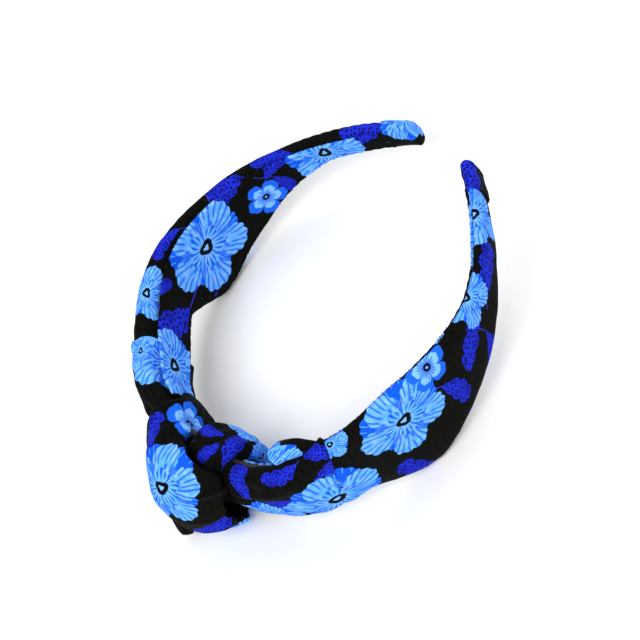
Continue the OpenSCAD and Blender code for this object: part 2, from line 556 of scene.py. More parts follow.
@dataclass
class Wire:
    """A value in a node tree that can be reckoned with.

    Attributes:
        tree: The tree it is in.
        socket: The output that carries it.
    """

    tree: bpy.types.NodeTree
    socket: bpy.types.NodeSocket

    def math(self, operation: str, *others: "Wire | float") -> "Wire":
        """Feeds this value and others through a Math node.

        Args:
            operation: The node's operation.
            *others: Second and third values.

        Returns:
            The result.
        """
        node = add_node(self.tree, "ShaderNodeMath", operation=operation)
        for slot, value in zip(node.inputs, (self, *others)):
            if isinstance(value, Wire):
                self.tree.links.new(value.socket, slot)
            else:
                slot.default_value = value
        return Wire(self.tree, node.outputs[0])

    def __add__(self, other: "Wire | float") -> "Wire":
        """Sum."""
        return self.math("ADD", other)

    def __sub__(self, other: "Wire | float") -> "Wire":
        """Difference."""
        return self.math("SUBTRACT", other)

    def __mul__(self, other: "Wire | float") -> "Wire":
        """Product."""
        return self.math("MULTIPLY", other)

    def __truediv__(self, other: "Wire | float") -> "Wire":
        """Quotient."""
        return self.math("DIVIDE", other)

    def size(self) -> "Wire":
        """Value without its sign."""
        return self.math("ABSOLUTE")

    def sin(self) -> "Wire":
        """Sine."""
        return self.math("SINE")

    def cos(self) -> "Wire":
        """Cosine."""
        return self.math("COSINE")

    def below(self, edge: "Wire | float", blur: float) -> "Wire":
        """One where this value is below an edge, fading to zero over a blur.

        Args:
            edge: The edge.
            blur: Width of the fade.

        Returns:
            The mask.
        """
        gap = (edge - self) if isinstance(edge, Wire) else (self * -1.0) + edge
        spread = gap.math("DIVIDE", blur) + 0.5
        return spread.math("MINIMUM", 1.0).math("MAXIMUM", 0.0)

    def above(self, edge: "Wire | float", blur: float) -> "Wire":
        """One where this value is above an edge."""
        return self.below(edge, blur).math("MULTIPLY_ADD", -1.0, 1.0)


def blend(
    tree: bpy.types.NodeTree, amount: Wire, low: object, high: object
) -> bpy.types.NodeSocket:
    """Mixes two colours.

    Args:
        tree: The node tree.
        amount: How much of the second colour.
        low: First colour, as RGBA or a socket.
        high: Second colour, as RGBA or a socket.

    Returns:
        The mixed colour's socket.
    """
    node = add_node(tree, "ShaderNodeMix", data_type="RGBA")
    tree.links.new(amount.socket, node.inputs[0])
    for slot, value in ((node.inputs[6], low), (node.inputs[7], high)):
        if isinstance(value, bpy.types.NodeSocket):
            tree.links.new(value, slot)
        else:
            slot.default_value = value
    return node.outputs[2]


def set_inputs(node: bpy.types.Node, values: dict[str, float]) -> None:
    """Sets a node's own sockets.

    Args:
        node: The node.
        values: A value for each socket's name.
    """
    for name, value in values.items():
        node.inputs[name].default_value = value


def uv_place(tree: bpy.types.NodeTree, name: str) -> bpy.types.NodeSocket:
    """Place on one of the piece's UV maps."""
    return add_node(tree, "ShaderNodeUVMap", uv_map=name).outputs[0]


def object_place(tree: bpy.types.NodeTree) -> bpy.types.NodeSocket:
    """Place in the object's own coordinates, in metres."""
    return add_node(tree, "ShaderNodeTexCoord").outputs["Object"]


def noise(
    tree: bpy.types.NodeTree,
    place: bpy.types.NodeSocket,
    scale: float,
    detail: float = 2.0,
    dimensions: str = "3D",
) -> bpy.types.Node:
    """Adds a noise texture.

    Args:
        tree: The node tree.
        place: Where it is sampled.
        scale: Cells in one unit of the place.
        detail: Number of finer layers.
        dimensions: Its dimensions, 2D or 3D.

    Returns:
        The node, whose first output is the value.
    """
    node = add_node(tree, "ShaderNodeTexNoise", noise_dimensions=dimensions)
    set_inputs(node, {"Scale": scale, "Detail": detail})
    tree.links.new(place, node.inputs["Vector"])
    return node


@dataclass(frozen=True)
class MotifInk:
    """Colours of the print and how each motif is drawn from its local coordinates.

    Sizes inside a motif are in its own unit: one is half the motif's width.

    Attributes:
        petal: Light blue of the petals.
        petal_pale: Palest blue of the petals.
        vein: Blue of the veins and of the petals behind.
        small: Blue of a small flower's outer petals.
        leaf: Ultramarine of the leaves.
        leaf_dark: Shaded part of the leaves.
        stem: Blue of the stems.
        dark: Near-black of centres and dots.
        crisp: Width over which a printed edge fades.
        dot_scale: Dots across one unit of a leaf.
        dot_size: Radius of a dot as a share of its cell.
        stem_width: Half the width of a stem.
        stem_end: How far a stem runs from the leaf's middle.
    """

    petal: str = "#5AA9FF"
    petal_pale: str = "#7FBEFF"
    vein: str = "#1058E6"
    small: str = "#1D66EC"
    leaf: str = "#2030D2"
    leaf_dark: str = "#1620A8"
    stem: str = "#3337B8"
    dark: str = "#070812"
    crisp: float = 0.012
    dot_scale: float = 5.4
    dot_size: float = 0.24
    stem_width: float = 0.028
    stem_end: float = 2.1

    def local(self, tree: bpy.types.NodeTree, layer: Layer, wobble: float) -> tuple[Wire, Wire]:
        """Local coordinates of a layer, slightly wobbled as a hand-cut block would be.

        Args:
            tree: The material's tree.
            layer: The layer.
            wobble: Size of the wobble in motif sizes.

        Returns:
            The two coordinates.
        """
        place = uv_place(tree, layer.value)
        waves = noise(tree, place, 1.7, 1.0, "2D")
        split = add_node(tree, "ShaderNodeSeparateXYZ")
        tree.links.new(place, split.inputs[0])
        shift = add_node(tree, "ShaderNodeSeparateColor")
        tree.links.new(waves.outputs["Color"], shift.inputs[0])
        return tuple(
            Wire(tree, split.outputs[k]) + (Wire(tree, shift.outputs[k]) - 0.5) * (2 * wobble)
            for k in (0, 1)
        )

    @staticmethod
    def polar(x: Wire, y: Wire) -> tuple[Wire, Wire]:
        """Distance and angle of a place from the motif's middle."""
        return (x * x + y * y).math("SQRT"), y.math("ARCTAN2", x)

    @staticmethod
    def petals(angle: Wire) -> tuple[Wire, Wire]:
        """How near an angle is to a petal's middle, and to the gap between two petals."""
        half_turns = angle * (PETALS / 2)
        return half_turns.cos().size(), half_turns.sin().size()

    @staticmethod
    def scallops(angle: Wire, count: int, depth: float) -> Wire:
        """Small bumps along a petal's edge, a number of them all round."""
        return (angle * (count / 2)).cos().size() * depth

    @staticmethod
    def strokes(angle: Wire, radius: Wire, count: int, width: float) -> tuple[Wire, Wire]:
        """Thin radial strokes with a random number for each.

        Args:
            angle: Angle round the flower.
            radius: Distance from its middle.
            count: Number of strokes all round.
            width: Stroke width in motif sizes.

        Returns:
            The strokes' mask, and the random number.
        """
        turn = angle * (count / FULL_TURN)
        inside = turn.math("FRACT") - 0.5
        chance = add_node(turn.tree, "ShaderNodeTexWhiteNoise", noise_dimensions="1D")
        turn.tree.links.new(turn.math("FLOOR").socket, chance.inputs["W"])
        away = inside.size() * radius * (FULL_TURN / count)
        return away.below(width / 2, width * 0.9), Wire(turn.tree, chance.outputs["Value"])

    def big_flower(self, tree: bpy.types.NodeTree, ground: object) -> bpy.types.NodeSocket:
        """Draws the big flower over a ground colour.

        It has pale front petals with blue veins and hearts, and darker petals behind
        them on one side.

        Args:
            tree: The material's tree.
            ground: Colour beneath.

        Returns:
            The colour with the flower on it.
        """
        radius, angle = self.polar(*self.local(tree, Layer.BIG, 0.07))
        lobe, gap = self.petals(angle)
        scallop = (angle * 15.0).sin().size() * 0.045
        front_edge = lobe.math("POWER", 0.55) * 0.46 + 0.42 + scallop
        one_sided = (angle - 0.9).cos() * 0.17
        back_edge = gap.math("POWER", 0.6) * 0.3 + one_sided + 0.47 + self.scallops(angle, 26, 0.04)

        veins, chance = self.strokes(angle, radius, 40, 0.032)
        veins = veins * (radius / front_edge).above(chance * 0.35 + 0.42, 0.1)
        hearts, chance = self.strokes(angle, radius, 20, 0.055)
        heart = radius.below(lobe * 0.24 + 0.19, 0.03)
        heart = heart * hearts.above(0.5, 0.2).math("MULTIPLY_ADD", -1.0, 1.0)
        tails = hearts * radius.below(chance * 0.2 + 0.4, 0.06) * radius.above(0.4, 0.05)
        folds = (lobe * radius).below(0.035, 0.016) * radius.above(0.15, 0.05)
        marks = veins.math("MAXIMUM", heart.math("MAXIMUM", tails)).math("MAXIMUM", folds)
        streaks, chance = self.strokes(angle, radius, 34, 0.02)
        streaks = streaks * (radius / back_edge).above(chance * 0.2 + 0.72, 0.05)

        tint = noise(tree, uv_place(tree, Layer.BIG.value), 6.0, dimensions="2D")
        pale = Wire(tree, tint.outputs[0]).above(0.52, 0.3)
        petal = blend(tree, pale, linear(self.petal), linear(self.petal_pale))
        petal = blend(tree, marks, petal, linear(self.vein))
        behind = blend(tree, streaks, linear(self.vein), linear(self.petal))
        color = blend(tree, radius.below(back_edge, self.crisp), ground, behind)
        color = blend(tree, radius.below(front_edge, self.crisp), color, petal)
        eye = radius - self.scallops(angle, 3, 0.035)
        color = blend(tree, eye.below(0.13, 0.02), color, linear(self.dark))
        return blend(tree, eye.below(0.03, self.crisp), color, linear(self.petal_pale))

    def small_flower(self, tree: bpy.types.NodeTree, ground: object) -> bpy.types.NodeSocket:
        """Draws the small flower, light inside and darker outside, over a ground colour.

        Args:
            tree: The material's tree.
            ground: Colour beneath.

        Returns:
            The colour with the flower on it.
        """
        radius, angle = self.polar(*self.local(tree, Layer.SMALL, 0.06))
        lobe, _ = self.petals(angle)
        edge = lobe.math("POWER", 0.5) * 0.45 + 0.5 + self.scallops(angle, 15, 0.05)
        veins, chance = self.strokes(angle, radius, 22, 0.05)
        light = (radius / edge).below(0.68, 0.04)
        marks = veins * radius.below(chance * 0.25 + 0.3, 0.08)
        inner = blend(tree, marks, linear(self.petal_pale), linear(self.vein))
        petal = blend(tree, light, linear(self.small), inner)
        color = blend(tree, radius.below(edge, 0.03), ground, petal)
        color = blend(tree, radius.below(0.17, 0.04), color, linear(self.dark))
        return blend(tree, radius.below(0.05, 0.03), color, linear(self.petal_pale))

    def dotted(self, tree: bpy.types.NodeTree, layer: Layer) -> bpy.types.NodeSocket:
        """Leaf colour with dark dots all over.

        Args:
            tree: The material's tree.
            layer: The leaf's layer.

        Returns:
            The colour.
        """
        place = uv_place(tree, layer.value)
        cells = add_node(tree, "ShaderNodeTexVoronoi", voronoi_dimensions="2D")
        set_inputs(cells, {"Scale": self.dot_scale, "Randomness": 0.5})
        tree.links.new(place, cells.inputs["Vector"])
        tint = noise(tree, place, 2.0, dimensions="2D")
        shade = Wire(tree, tint.outputs[0]).above(0.55, 0.3)
        color = blend(tree, shade, linear(self.leaf), linear(self.leaf_dark))
        spots = Wire(tree, cells.outputs["Distance"]).below(self.dot_size, 0.08)
        return blend(tree, spots, color, linear(self.dark))

    def leaf_shape(
        self, tree: bpy.types.NodeTree, layer: Layer, ground: object, lobes: float, taper: float
    ) -> bpy.types.NodeSocket:
        """Draws a leaf with its stem over a ground colour.

        Args:
            tree: The material's tree.
            layer: The leaf's layer.
            ground: Colour beneath.
            lobes: Depth of the lobes along its edges.
            taper: How much narrower it gets toward its tip.

        Returns:
            The colour with the leaf on it.
        """
        x, y = self.local(tree, layer, 0.08)
        bent = y - (x * x) * 0.18 + 0.06
        round_end = (x * x * -1.0 + 1.0).math("MAXIMUM", 0.0).math("POWER", 0.55)
        wave = (x * 5.2 + 0.6).cos().size().math("POWER", 0.7) * lobes + (1 - lobes)
        width = round_end * wave * (x * -taper + 0.95) * 0.46
        blade = bent.size().below(width, 0.02) * x.size().below(1.0, 0.02)
        path = bent - ((x - 1.0) * 1.9).sin() * 0.22
        stem = path.size().below(self.stem_width, 0.016)
        stem = stem * x.above(0.9, 0.02) * x.below(self.stem_end, 0.02)
        color = blend(tree, stem, ground, linear(self.stem))
        return blend(tree, blade, color, self.dotted(tree, layer))


# ---------------------------------------------------------------- finishes


def new_material(name: str) -> tuple[bpy.types.Material, bpy.types.NodeTree, bpy.types.Node]:
    """Makes a material with its Principled shader.

    Args:
        name: Name of the material.

    Returns:
        The material, its tree and the shader node.
    """
    material = bpy.data.materials.new(name)
    material.use_nodes = True
    tree = material.node_tree
    tree.nodes.clear()
    shader = add_node(tree, "ShaderNodeBsdfPrincipled")
    output = add_node(tree, "ShaderNodeOutputMaterial")
    tree.links.new(shader.outputs[0], output.inputs["Surface"])
    return material, tree, shader


def add_bump(
    tree: bpy.types.NodeTree, shader: bpy.types.Node, height: Wire, depth: float, strength: float
) -> None:
    """Feeds a height to the shader's normal.

    Args:
        tree: The material's tree.
        shader: The shader.
        height: The height, from zero to one.
        depth: What a height of one stands for, in millimetres.
        strength: How much of the bump is used.
    """
    bump = add_node(tree, "ShaderNodeBump")
    set_inputs(bump, {"Distance": depth * MM, "Strength": strength})
    tree.links.new(height.socket, bump.inputs["Height"])
    tree.links.new(bump.outputs[0], shader.inputs["Normal"])


def two_tone(
    tree: bpy.types.NodeTree, shader: bpy.types.Node, amount: Wire, low: str, high: str
) -> None:
    """Colours the shader between two hex tones, by an amount."""
    tree.links.new(blend(tree, amount, linear(low), linear(high)), shader.inputs["Base Color"])


@dataclass(frozen=True)
class PrintedCotton:
    """Fine cotton sateen with a printed ground of flowers and leaves.

    Attributes:
        name: Name of the material.
        ground: Near-black of the ground.
        ground_worn: Greyer black where the ground is rubbed.
        thread_pitch: Distance between two threads of the weave, in millimetres.
        roughness: Roughness of cotton.
        sheen: Share of light that the fibres catch.
        gloss: Specular level; dyed cotton is nearly matt.
        ink: The print.
    """

    name: str = "printed_cotton_sateen"
    ground: str = "#070806"
    ground_worn: str = "#11120D"
    thread_pitch: float = 0.32
    roughness: float = 0.72
    sheen: float = 0.01
    gloss: float = 0.03
    ink: MotifInk = MotifInk()

    def printed(self, tree: bpy.types.NodeTree, speck: Wire) -> bpy.types.NodeSocket:
        """Lays the leaves and then the flowers over the rubbed ground.

        Args:
            tree: The material's tree.
            speck: Grain of the cloth.

        Returns:
            The printed colour.
        """
        color = blend(tree, speck.above(0.56, 0.25), linear(self.ground), linear(self.ground_worn))
        color = self.ink.leaf_shape(tree, Layer.DROP, color, 0.0, 0.55)
        color = self.ink.leaf_shape(tree, Layer.LEAF, color, 0.34, 0.2)
        color = self.ink.big_flower(tree, color)
        return self.ink.small_flower(tree, color)

    def make(self) -> bpy.types.Material:
        """Builds the material.

        Returns:
            The material.
        """
        material, tree, shader = new_material(self.name)
        place = uv_place(tree, CLOTH_UV)
        split = add_node(tree, "ShaderNodeSeparateXYZ")
        tree.links.new(place, split.inputs[0])
        along, across = Wire(tree, split.outputs[0]), Wire(tree, split.outputs[1])
        speck = Wire(tree, noise(tree, place, 0.9, 5.0, "2D").outputs[0])
        color = self.printed(tree, speck)
        thread = FULL_TURN / self.thread_pitch
        weave = (along * thread).sin() * (across * thread).sin() * 0.5 + 0.5
        tone = weave * 0.08 + speck * 0.16 + 0.86
        grey = add_node(tree, "ShaderNodeCombineColor")
        for channel in grey.inputs:
            tree.links.new(tone.socket, channel)
        shade = add_node(tree, "ShaderNodeMix", data_type="RGBA", blend_type="MULTIPLY")
        shade.inputs[0].default_value = 1.0
        tree.links.new(color, shade.inputs[6])
        tree.links.new(grey.outputs[0], shade.inputs[7])
        tree.links.new(shade.outputs[2], shader.inputs["Base Color"])
        rough = speck * 0.14 + (self.roughness - 0.07)
        tree.links.new(rough.socket, shader.inputs["Roughness"])
        set_inputs(shader, {"IOR": 1.46, "Specular IOR Level": self.gloss})
        set_inputs(shader, {"Sheen Weight": self.sheen, "Sheen Roughness": 0.45})
        add_bump(tree, shader, weave + speck * 0.8, 0.1, 0.35)
        return material


@dataclass(frozen=True)
class SewingThread:
    """Twisted polyester sewing thread in near-black.

    Attributes:
        name: Name of the material.
        color: Colour between the plies.
        highlight: Colour on top of a ply.
        twist_pitch: Distance between two plies, in millimetres.
    """

    name: str = "sewing_thread"
    color: str = "#101116"
    highlight: str = "#24262C"
    twist_pitch: float = 0.45

    def make(self) -> bpy.types.Material:
        """Builds the material.

        Returns:
            The material.
        """
        material, tree, shader = new_material(self.name)
        in_mm = add_node(tree, "ShaderNodeMapping")
        in_mm.inputs["Scale"].default_value = (1 / MM,) * 3
        tree.links.new(object_place(tree), in_mm.inputs["Vector"])
        plies = add_node(tree, "ShaderNodeTexWave", bands_direction="DIAGONAL")
        set_inputs(plies, {"Scale": 1 / (self.twist_pitch * FULL_TURN), "Distortion": 0.6})
        tree.links.new(in_mm.outputs[0], plies.inputs["Vector"])
        ply = Wire(tree, plies.outputs[1])
        two_tone(tree, shader, ply, self.color, self.highlight)
        set_inputs(shader, {"Roughness": 0.5, "IOR": 1.55, "Specular IOR Level": 0.3})
        add_bump(tree, shader, ply, 0.08, 0.5)
        return material


@dataclass(frozen=True)
class SpringPlastic:
    """Black injection-moulded polypropylene with a faint satin grain.

    Attributes:
        name: Name of the material.
        color: The plastic's black.
        scuffed: Greyer black of its worn spots.
    """

    name: str = "spring_polypropylene"
    color: str = "#141414"
    scuffed: str = "#1E1F20"

    def make(self) -> bpy.types.Material:
        """Builds the material.

        Returns:
            The material.
        """
        material, tree, shader = new_material(self.name)
        speck = Wire(tree, noise(tree, object_place(tree), 900.0, 3.0).outputs[0])
        two_tone(tree, shader, speck.above(0.55, 0.3), self.color, self.scuffed)
        rough = speck * 0.2 + 0.32
        tree.links.new(rough.socket, shader.inputs["Roughness"])
        set_inputs(shader, {"IOR": 1.49})
        add_bump(tree, shader, speck, 0.03, 0.3)
        return material


@dataclass(frozen=True)
class PolyesterWadding:
    """White bonded polyester wadding.

    Attributes:
        name: Name of the material.
        color: White of its fibres.
        hollow: Shade between them.
    """

    name: str = "polyester_wadding"
    color: str = "#E9E7E1"
    hollow: str = "#C9C6BE"

    def make(self) -> bpy.types.Material:
        """Builds the material.

        Returns:
            The material.
        """
        material, tree, shader = new_material(self.name)
        fluff = noise(tree, object_place(tree), 420.0, 6.0)
        set_inputs(fluff, {"Roughness": 0.7})
        fibre = Wire(tree, fluff.outputs[0])
        two_tone(tree, shader, fibre.below(0.5, 0.3), self.color, self.hollow)
        set_inputs(shader, {"Roughness": 0.95, "Sheen Weight": 0.3})
        add_bump(tree, shader, fibre, 0.4, 0.6)
        return material


@dataclass(frozen=True)
class PaperSweep:
    """Matt white paper under the piece.

    Attributes:
        name: Name of the material.
        color: White of the paper.
        shaded: White of its pulp.
    """

    name: str = "paper_sweep"
    color: str = "#F7F7F6"
    shaded: str = "#F2F2F1"

    def make(self) -> bpy.types.Material:
        """Builds the material.

        Returns:
            The material.
        """
        material, tree, shader = new_material(self.name)
        pulp = Wire(tree, noise(tree, object_place(tree), 60.0).outputs[0])
        two_tone(tree, shader, pulp, self.color, self.shaded)
        set_inputs(shader, {"Roughness": 0.9, "Specular IOR Level": 0.1})
        return material


@dataclass
class Finishes:
    """One of each material, made once."""

    cloth: bpy.types.Material = field(default_factory=lambda: PrintedCotton().make())
    lining: bpy.types.Material = field(
        default_factory=lambda: PrintedCotton(
            name="printed_cotton_lining", ground="#070807", thread_pitch=0.3, roughness=0.76
        ).make()
    )
    thread: bpy.types.Material = field(default_factory=lambda: SewingThread().make())
    plastic: bpy.types.Material = field(default_factory=lambda: SpringPlastic().make())
    wadding: bpy.types.Material = field(default_factory=lambda: PolyesterWadding().make())
    paper: bpy.types.Material = field(default_factory=lambda: PaperSweep().make())


def dress(
    piece: bpy.types.Object, material: bpy.types.Material, slot: str, *nodes: str
) -> bpy.types.Object:
    """Gives a piece its finish and its body, and hides the CAD nodes it replaces.

    Args:
        piece: The finished piece.
        material: Its material.
        slot: Not used.
        *nodes: CAD nodes it replaces.

    Returns:
        The piece.
    """
    piece.data.materials.clear()
    piece.data.materials.append(material)
    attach(piece, BODY)
    if nodes:
        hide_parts(*nodes)
    return piece


# ---------------------------------------------------------------- arms


@dataclass
class ArmShape:
    """Outline of one covered arm along the hoop.

    Attributes:
        line: The hoop's line.
        side: The arm.
        front: Height of the front edge.
        rear: Height of the rear edge.
        outer: How far the outer face stands out from the hoop.
        inner: How far the inner face stands in from the hoop's outer face.
        squareness: Exponent of the rounded section; higher is flatter.
    """

    line: HoopLine
    side: Side
    front: Profile
    rear: Profile
    outer: Profile
    inner: Profile
    squareness: Profile = Profile(((10, 2.2), (60, 2.5), (84, 3.6), (150, 3.2), (200, 2.6)), 4.0)

    def outline(self, station: float, grow: float, count: int) -> tuple[Array, Array]:
        """Whole closed section at a station, from the inner middle round by the front.

        Args:
            station: Distance along the hoop line.
            grow: Distance added all round.
            count: Number of points.

        Returns:
            Points as outward distance and height, and distances along the outline
            from the outer middle.
        """
        front, rear = float(self.front(station)) + grow, float(self.rear(station)) - grow
        out, inn = float(self.outer(station)) + grow, float(self.inner(station)) - grow
        power = 2 / float(self.squareness(station))
        angle = np.linspace(math.pi, -math.pi, SECTION_STEPS)
        n = (out + inn) / 2 + (out - inn) / 2 * signed_power(np.cos(angle), power)
        z = (front + rear) / 2 + (front - rear) / 2 * signed_power(np.sin(angle), power)
        points, run = resample(np.stack([n, z], -1), count)
        return points, run[-1] / 2 - run

    def inner_face(self, station: Array, height: Array, lift: Array) -> Array:
        """Outward distance of the inner face at a height, raised by a lift.

        Args:
            station: Distances along the hoop line.
            height: Heights.
            lift: How far above the face.

        Returns:
            Outward distances, which are negative.
        """
        front, rear = self.front(station), self.rear(station)
        middle, half = (front + rear) / 2, (front - rear) / 2
        share = np.clip(np.abs((height - middle) / half), 0, 0.985)
        power = self.squareness(station)
        depth = (1 - share**power) ** (1 / power)
        out, inn = self.outer(station), self.inner(station)
        return (out + inn) / 2 - (out - inn) / 2 * depth - lift

    def fall(self, station: float, height: Array) -> Array:
        """How far down a section a height is: zero at the front edge, one at the rear."""
        widest = 36
        return np.clip((float(self.front(station)) - height) / widest, 0, 1)


@dataclass
class Tube:
    """A stretch of cloth round an arm, as a grid of sections.

    Attributes:
        shape: The arm's outline.
        start: First station.
        end: Last station.
        rows: Number of sections.
        columns: Number of points round a section.
        grow: Distance outside the arm's outline at a station.
        lean: How far its last section leans back to the knot at the rear edge.
    """

    shape: ArmShape
    start: float
    end: float
    rows: int
    columns: int
    grow: Callable[[float], float] = lambda s: 0.0
    lean: float = 0.0

    def grid(self) -> tuple[Array, Array, Array, Array]:
        """Lays out the sections.

        Returns:
            Points, cloth coordinates with one more column, stations, and the middle
            of each section.
        """
        stations = np.linspace(self.start, self.end, self.rows)
        points, flats, middles = [], [], []
        for s in stations:
            section, run = self.shape.outline(float(s), self.grow(float(s)), self.columns + 1)
            middle = float(self.shape.front(s) + self.shape.rear(s)) / 2
            fall = self.shape.fall(s, section[:, 1])
            near = s - self.lean * fall * float(ease(np.array(s), self.start, self.end))
            place = self.shape.line.at(near, section[:, 0], section[:, 1], self.shape.side)
            points.append(place[:-1])
            flats.append(np.stack([near, middle + run], -1))
            middles.append(place[:-1].mean(0))
        return np.array(points), np.array(flats), stations, np.array(middles)[:, None, :]


# ---------------------------------------------------------------- studio


@dataclass(frozen=True)
class Softbox:
    """A square soft light.

    Attributes:
        name: Its name.
        place: Its place, in metres.
        size: Length of its side, in metres.
        power: Its power, in watts.
    """

    name: str
    place: tuple[float, float, float]
    size: float
    power: float

    def hang(self, target: tuple[float, float, float]) -> None:
        """Hangs the light so that it looks at a target.

        Args:
            target: Where it looks, in metres.
        """
        data = bpy.data.lights.new(self.name, "AREA")
        data.shape, data.size, data.energy = "SQUARE", self.size, self.power
        lamp = bpy.data.objects.new(self.name, data)
        lamp.location = self.place
        aim = Vector(target) - Vector(self.place)
        lamp.rotation_euler = aim.to_track_quat("-Z", "Y").to_euler()
        bpy.context.scene.collection.objects.link(lamp)


@dataclass
class Studio:
    """Camera, paper and soft lights.

    Attributes:
        place: Camera's place, in millimetres.
        right: Camera's right.
        up: Camera's up.
        lens: Focal length on a 36 mm sensor.
        lit: Where the lights look, in metres.
        boxes: The soft lights.
        sky: Strength of the white light all round.
        reach: Half the paper's length, in metres.
        drop: How far the paper lies below the floor plane, in metres.
    """

    place: tuple[float, float, float] = (463.2, 3.5, 548.7)
    right: tuple[float, float, float] = (0.5835, 0.6350, -0.5063)
    up: tuple[float, float, float] = (-0.4758, 0.7725, 0.4206)
    lens: float = 107.4
    lit: tuple[float, float, float] = (0.0, 0.0, 0.02)
    boxes: tuple[Softbox, ...] = (
        Softbox("key", (0.5, -0.6, 1.3), 1.0, 15.0),
        Softbox("fill", (-0.7, 0.8, 1.1), 1.2, 8.0),
        Softbox("front", (1.3, 0.3, 0.8), 0.9, 5.0),
    )
    sky: float = 0.6
    reach: float = 3.0
    drop: float = 0.0002

    def camera(self) -> None:
        """Sets up the camera."""
        data = bpy.data.cameras.new("camera")
        data.lens, data.sensor_width = self.lens, 36.0
        data.clip_start, data.clip_end = 0.01, 20.0
        body = bpy.data.objects.new("camera", data)
        right = Vector(self.right).normalized()
        back = right.cross(Vector(self.up)).normalized()
        up = back.cross(right)
        turn = Matrix((right, up, back)).transposed().to_4x4()
        body.matrix_world = Matrix.Translation(Vector(self.place) * MM) @ turn
        bpy.context.scene.collection.objects.link(body)
        bpy.context.scene.camera = body

    def paper(self, material: bpy.types.Material, steps: int = 12) -> None:
        """Lays the paper on the floor plane.

        Args:
            material: The paper's material.
            steps: Number of faces along each side.
        """
        line = np.linspace(-self.reach, self.reach, steps + 1)
        points = [(x, y, -self.drop) for y in line for x in line]
        wide = steps + 1
        faces = [
            (j * wide + i, j * wide + i + 1, (j + 1) * wide + i + 1, (j + 1) * wide + i)
            for j in range(steps)
            for i in range(steps)
        ]
        mesh = bpy.data.meshes.new("paper")
        mesh.from_pydata(points, [], faces)
        mesh.materials.append(material)
        floor = bpy.data.objects.new("paper", mesh)
        bpy.context.scene.collection.objects.link(floor)

    def lights(self) -> None:
        """Sets the soft lights, the sky and the plain display transform."""
        for box in self.boxes:
            box.hang(self.lit)
        world = bpy.data.worlds.new("sky")
        world.use_nodes = True
        tree = world.node_tree
        sky = tree.nodes.get("Background") or add_node(tree, "ShaderNodeBackground")
        sky.inputs["Color"].default_value = (1.0, 1.0, 1.0, 1.0)
        sky.inputs["Strength"].default_value = self.sky
        bpy.context.scene.world = world
        bpy.context.scene.view_settings.view_transform = "Standard"

    def build(self, finishes: Finishes) -> None:
        """Sets up the camera, the paper and the lights.

        Args:
            finishes: The materials.
        """
        self.camera()
        self.paper(finishes.paper)
        self.lights()
        LOG.info("studio: %d soft lights", len(self.boxes))


# ---------------------------------------------------------------- covered arms


def report(piece: bpy.types.Object) -> None:
    """Says which piece is finished and how many faces it has."""
    LOG.info("%s: %d faces", piece.name, len(piece.data.polygons))


def in_metres(cut: tuple[float, float]) -> tuple[float, float]:
    """A width and a length in metres."""
    return (cut[0] * MM, cut[1] * MM)


def surface(piece: bpy.types.Object) -> float:
    """Whole surface of a piece, in square metres."""
    return float(sum(p.area for p in piece.data.polygons))


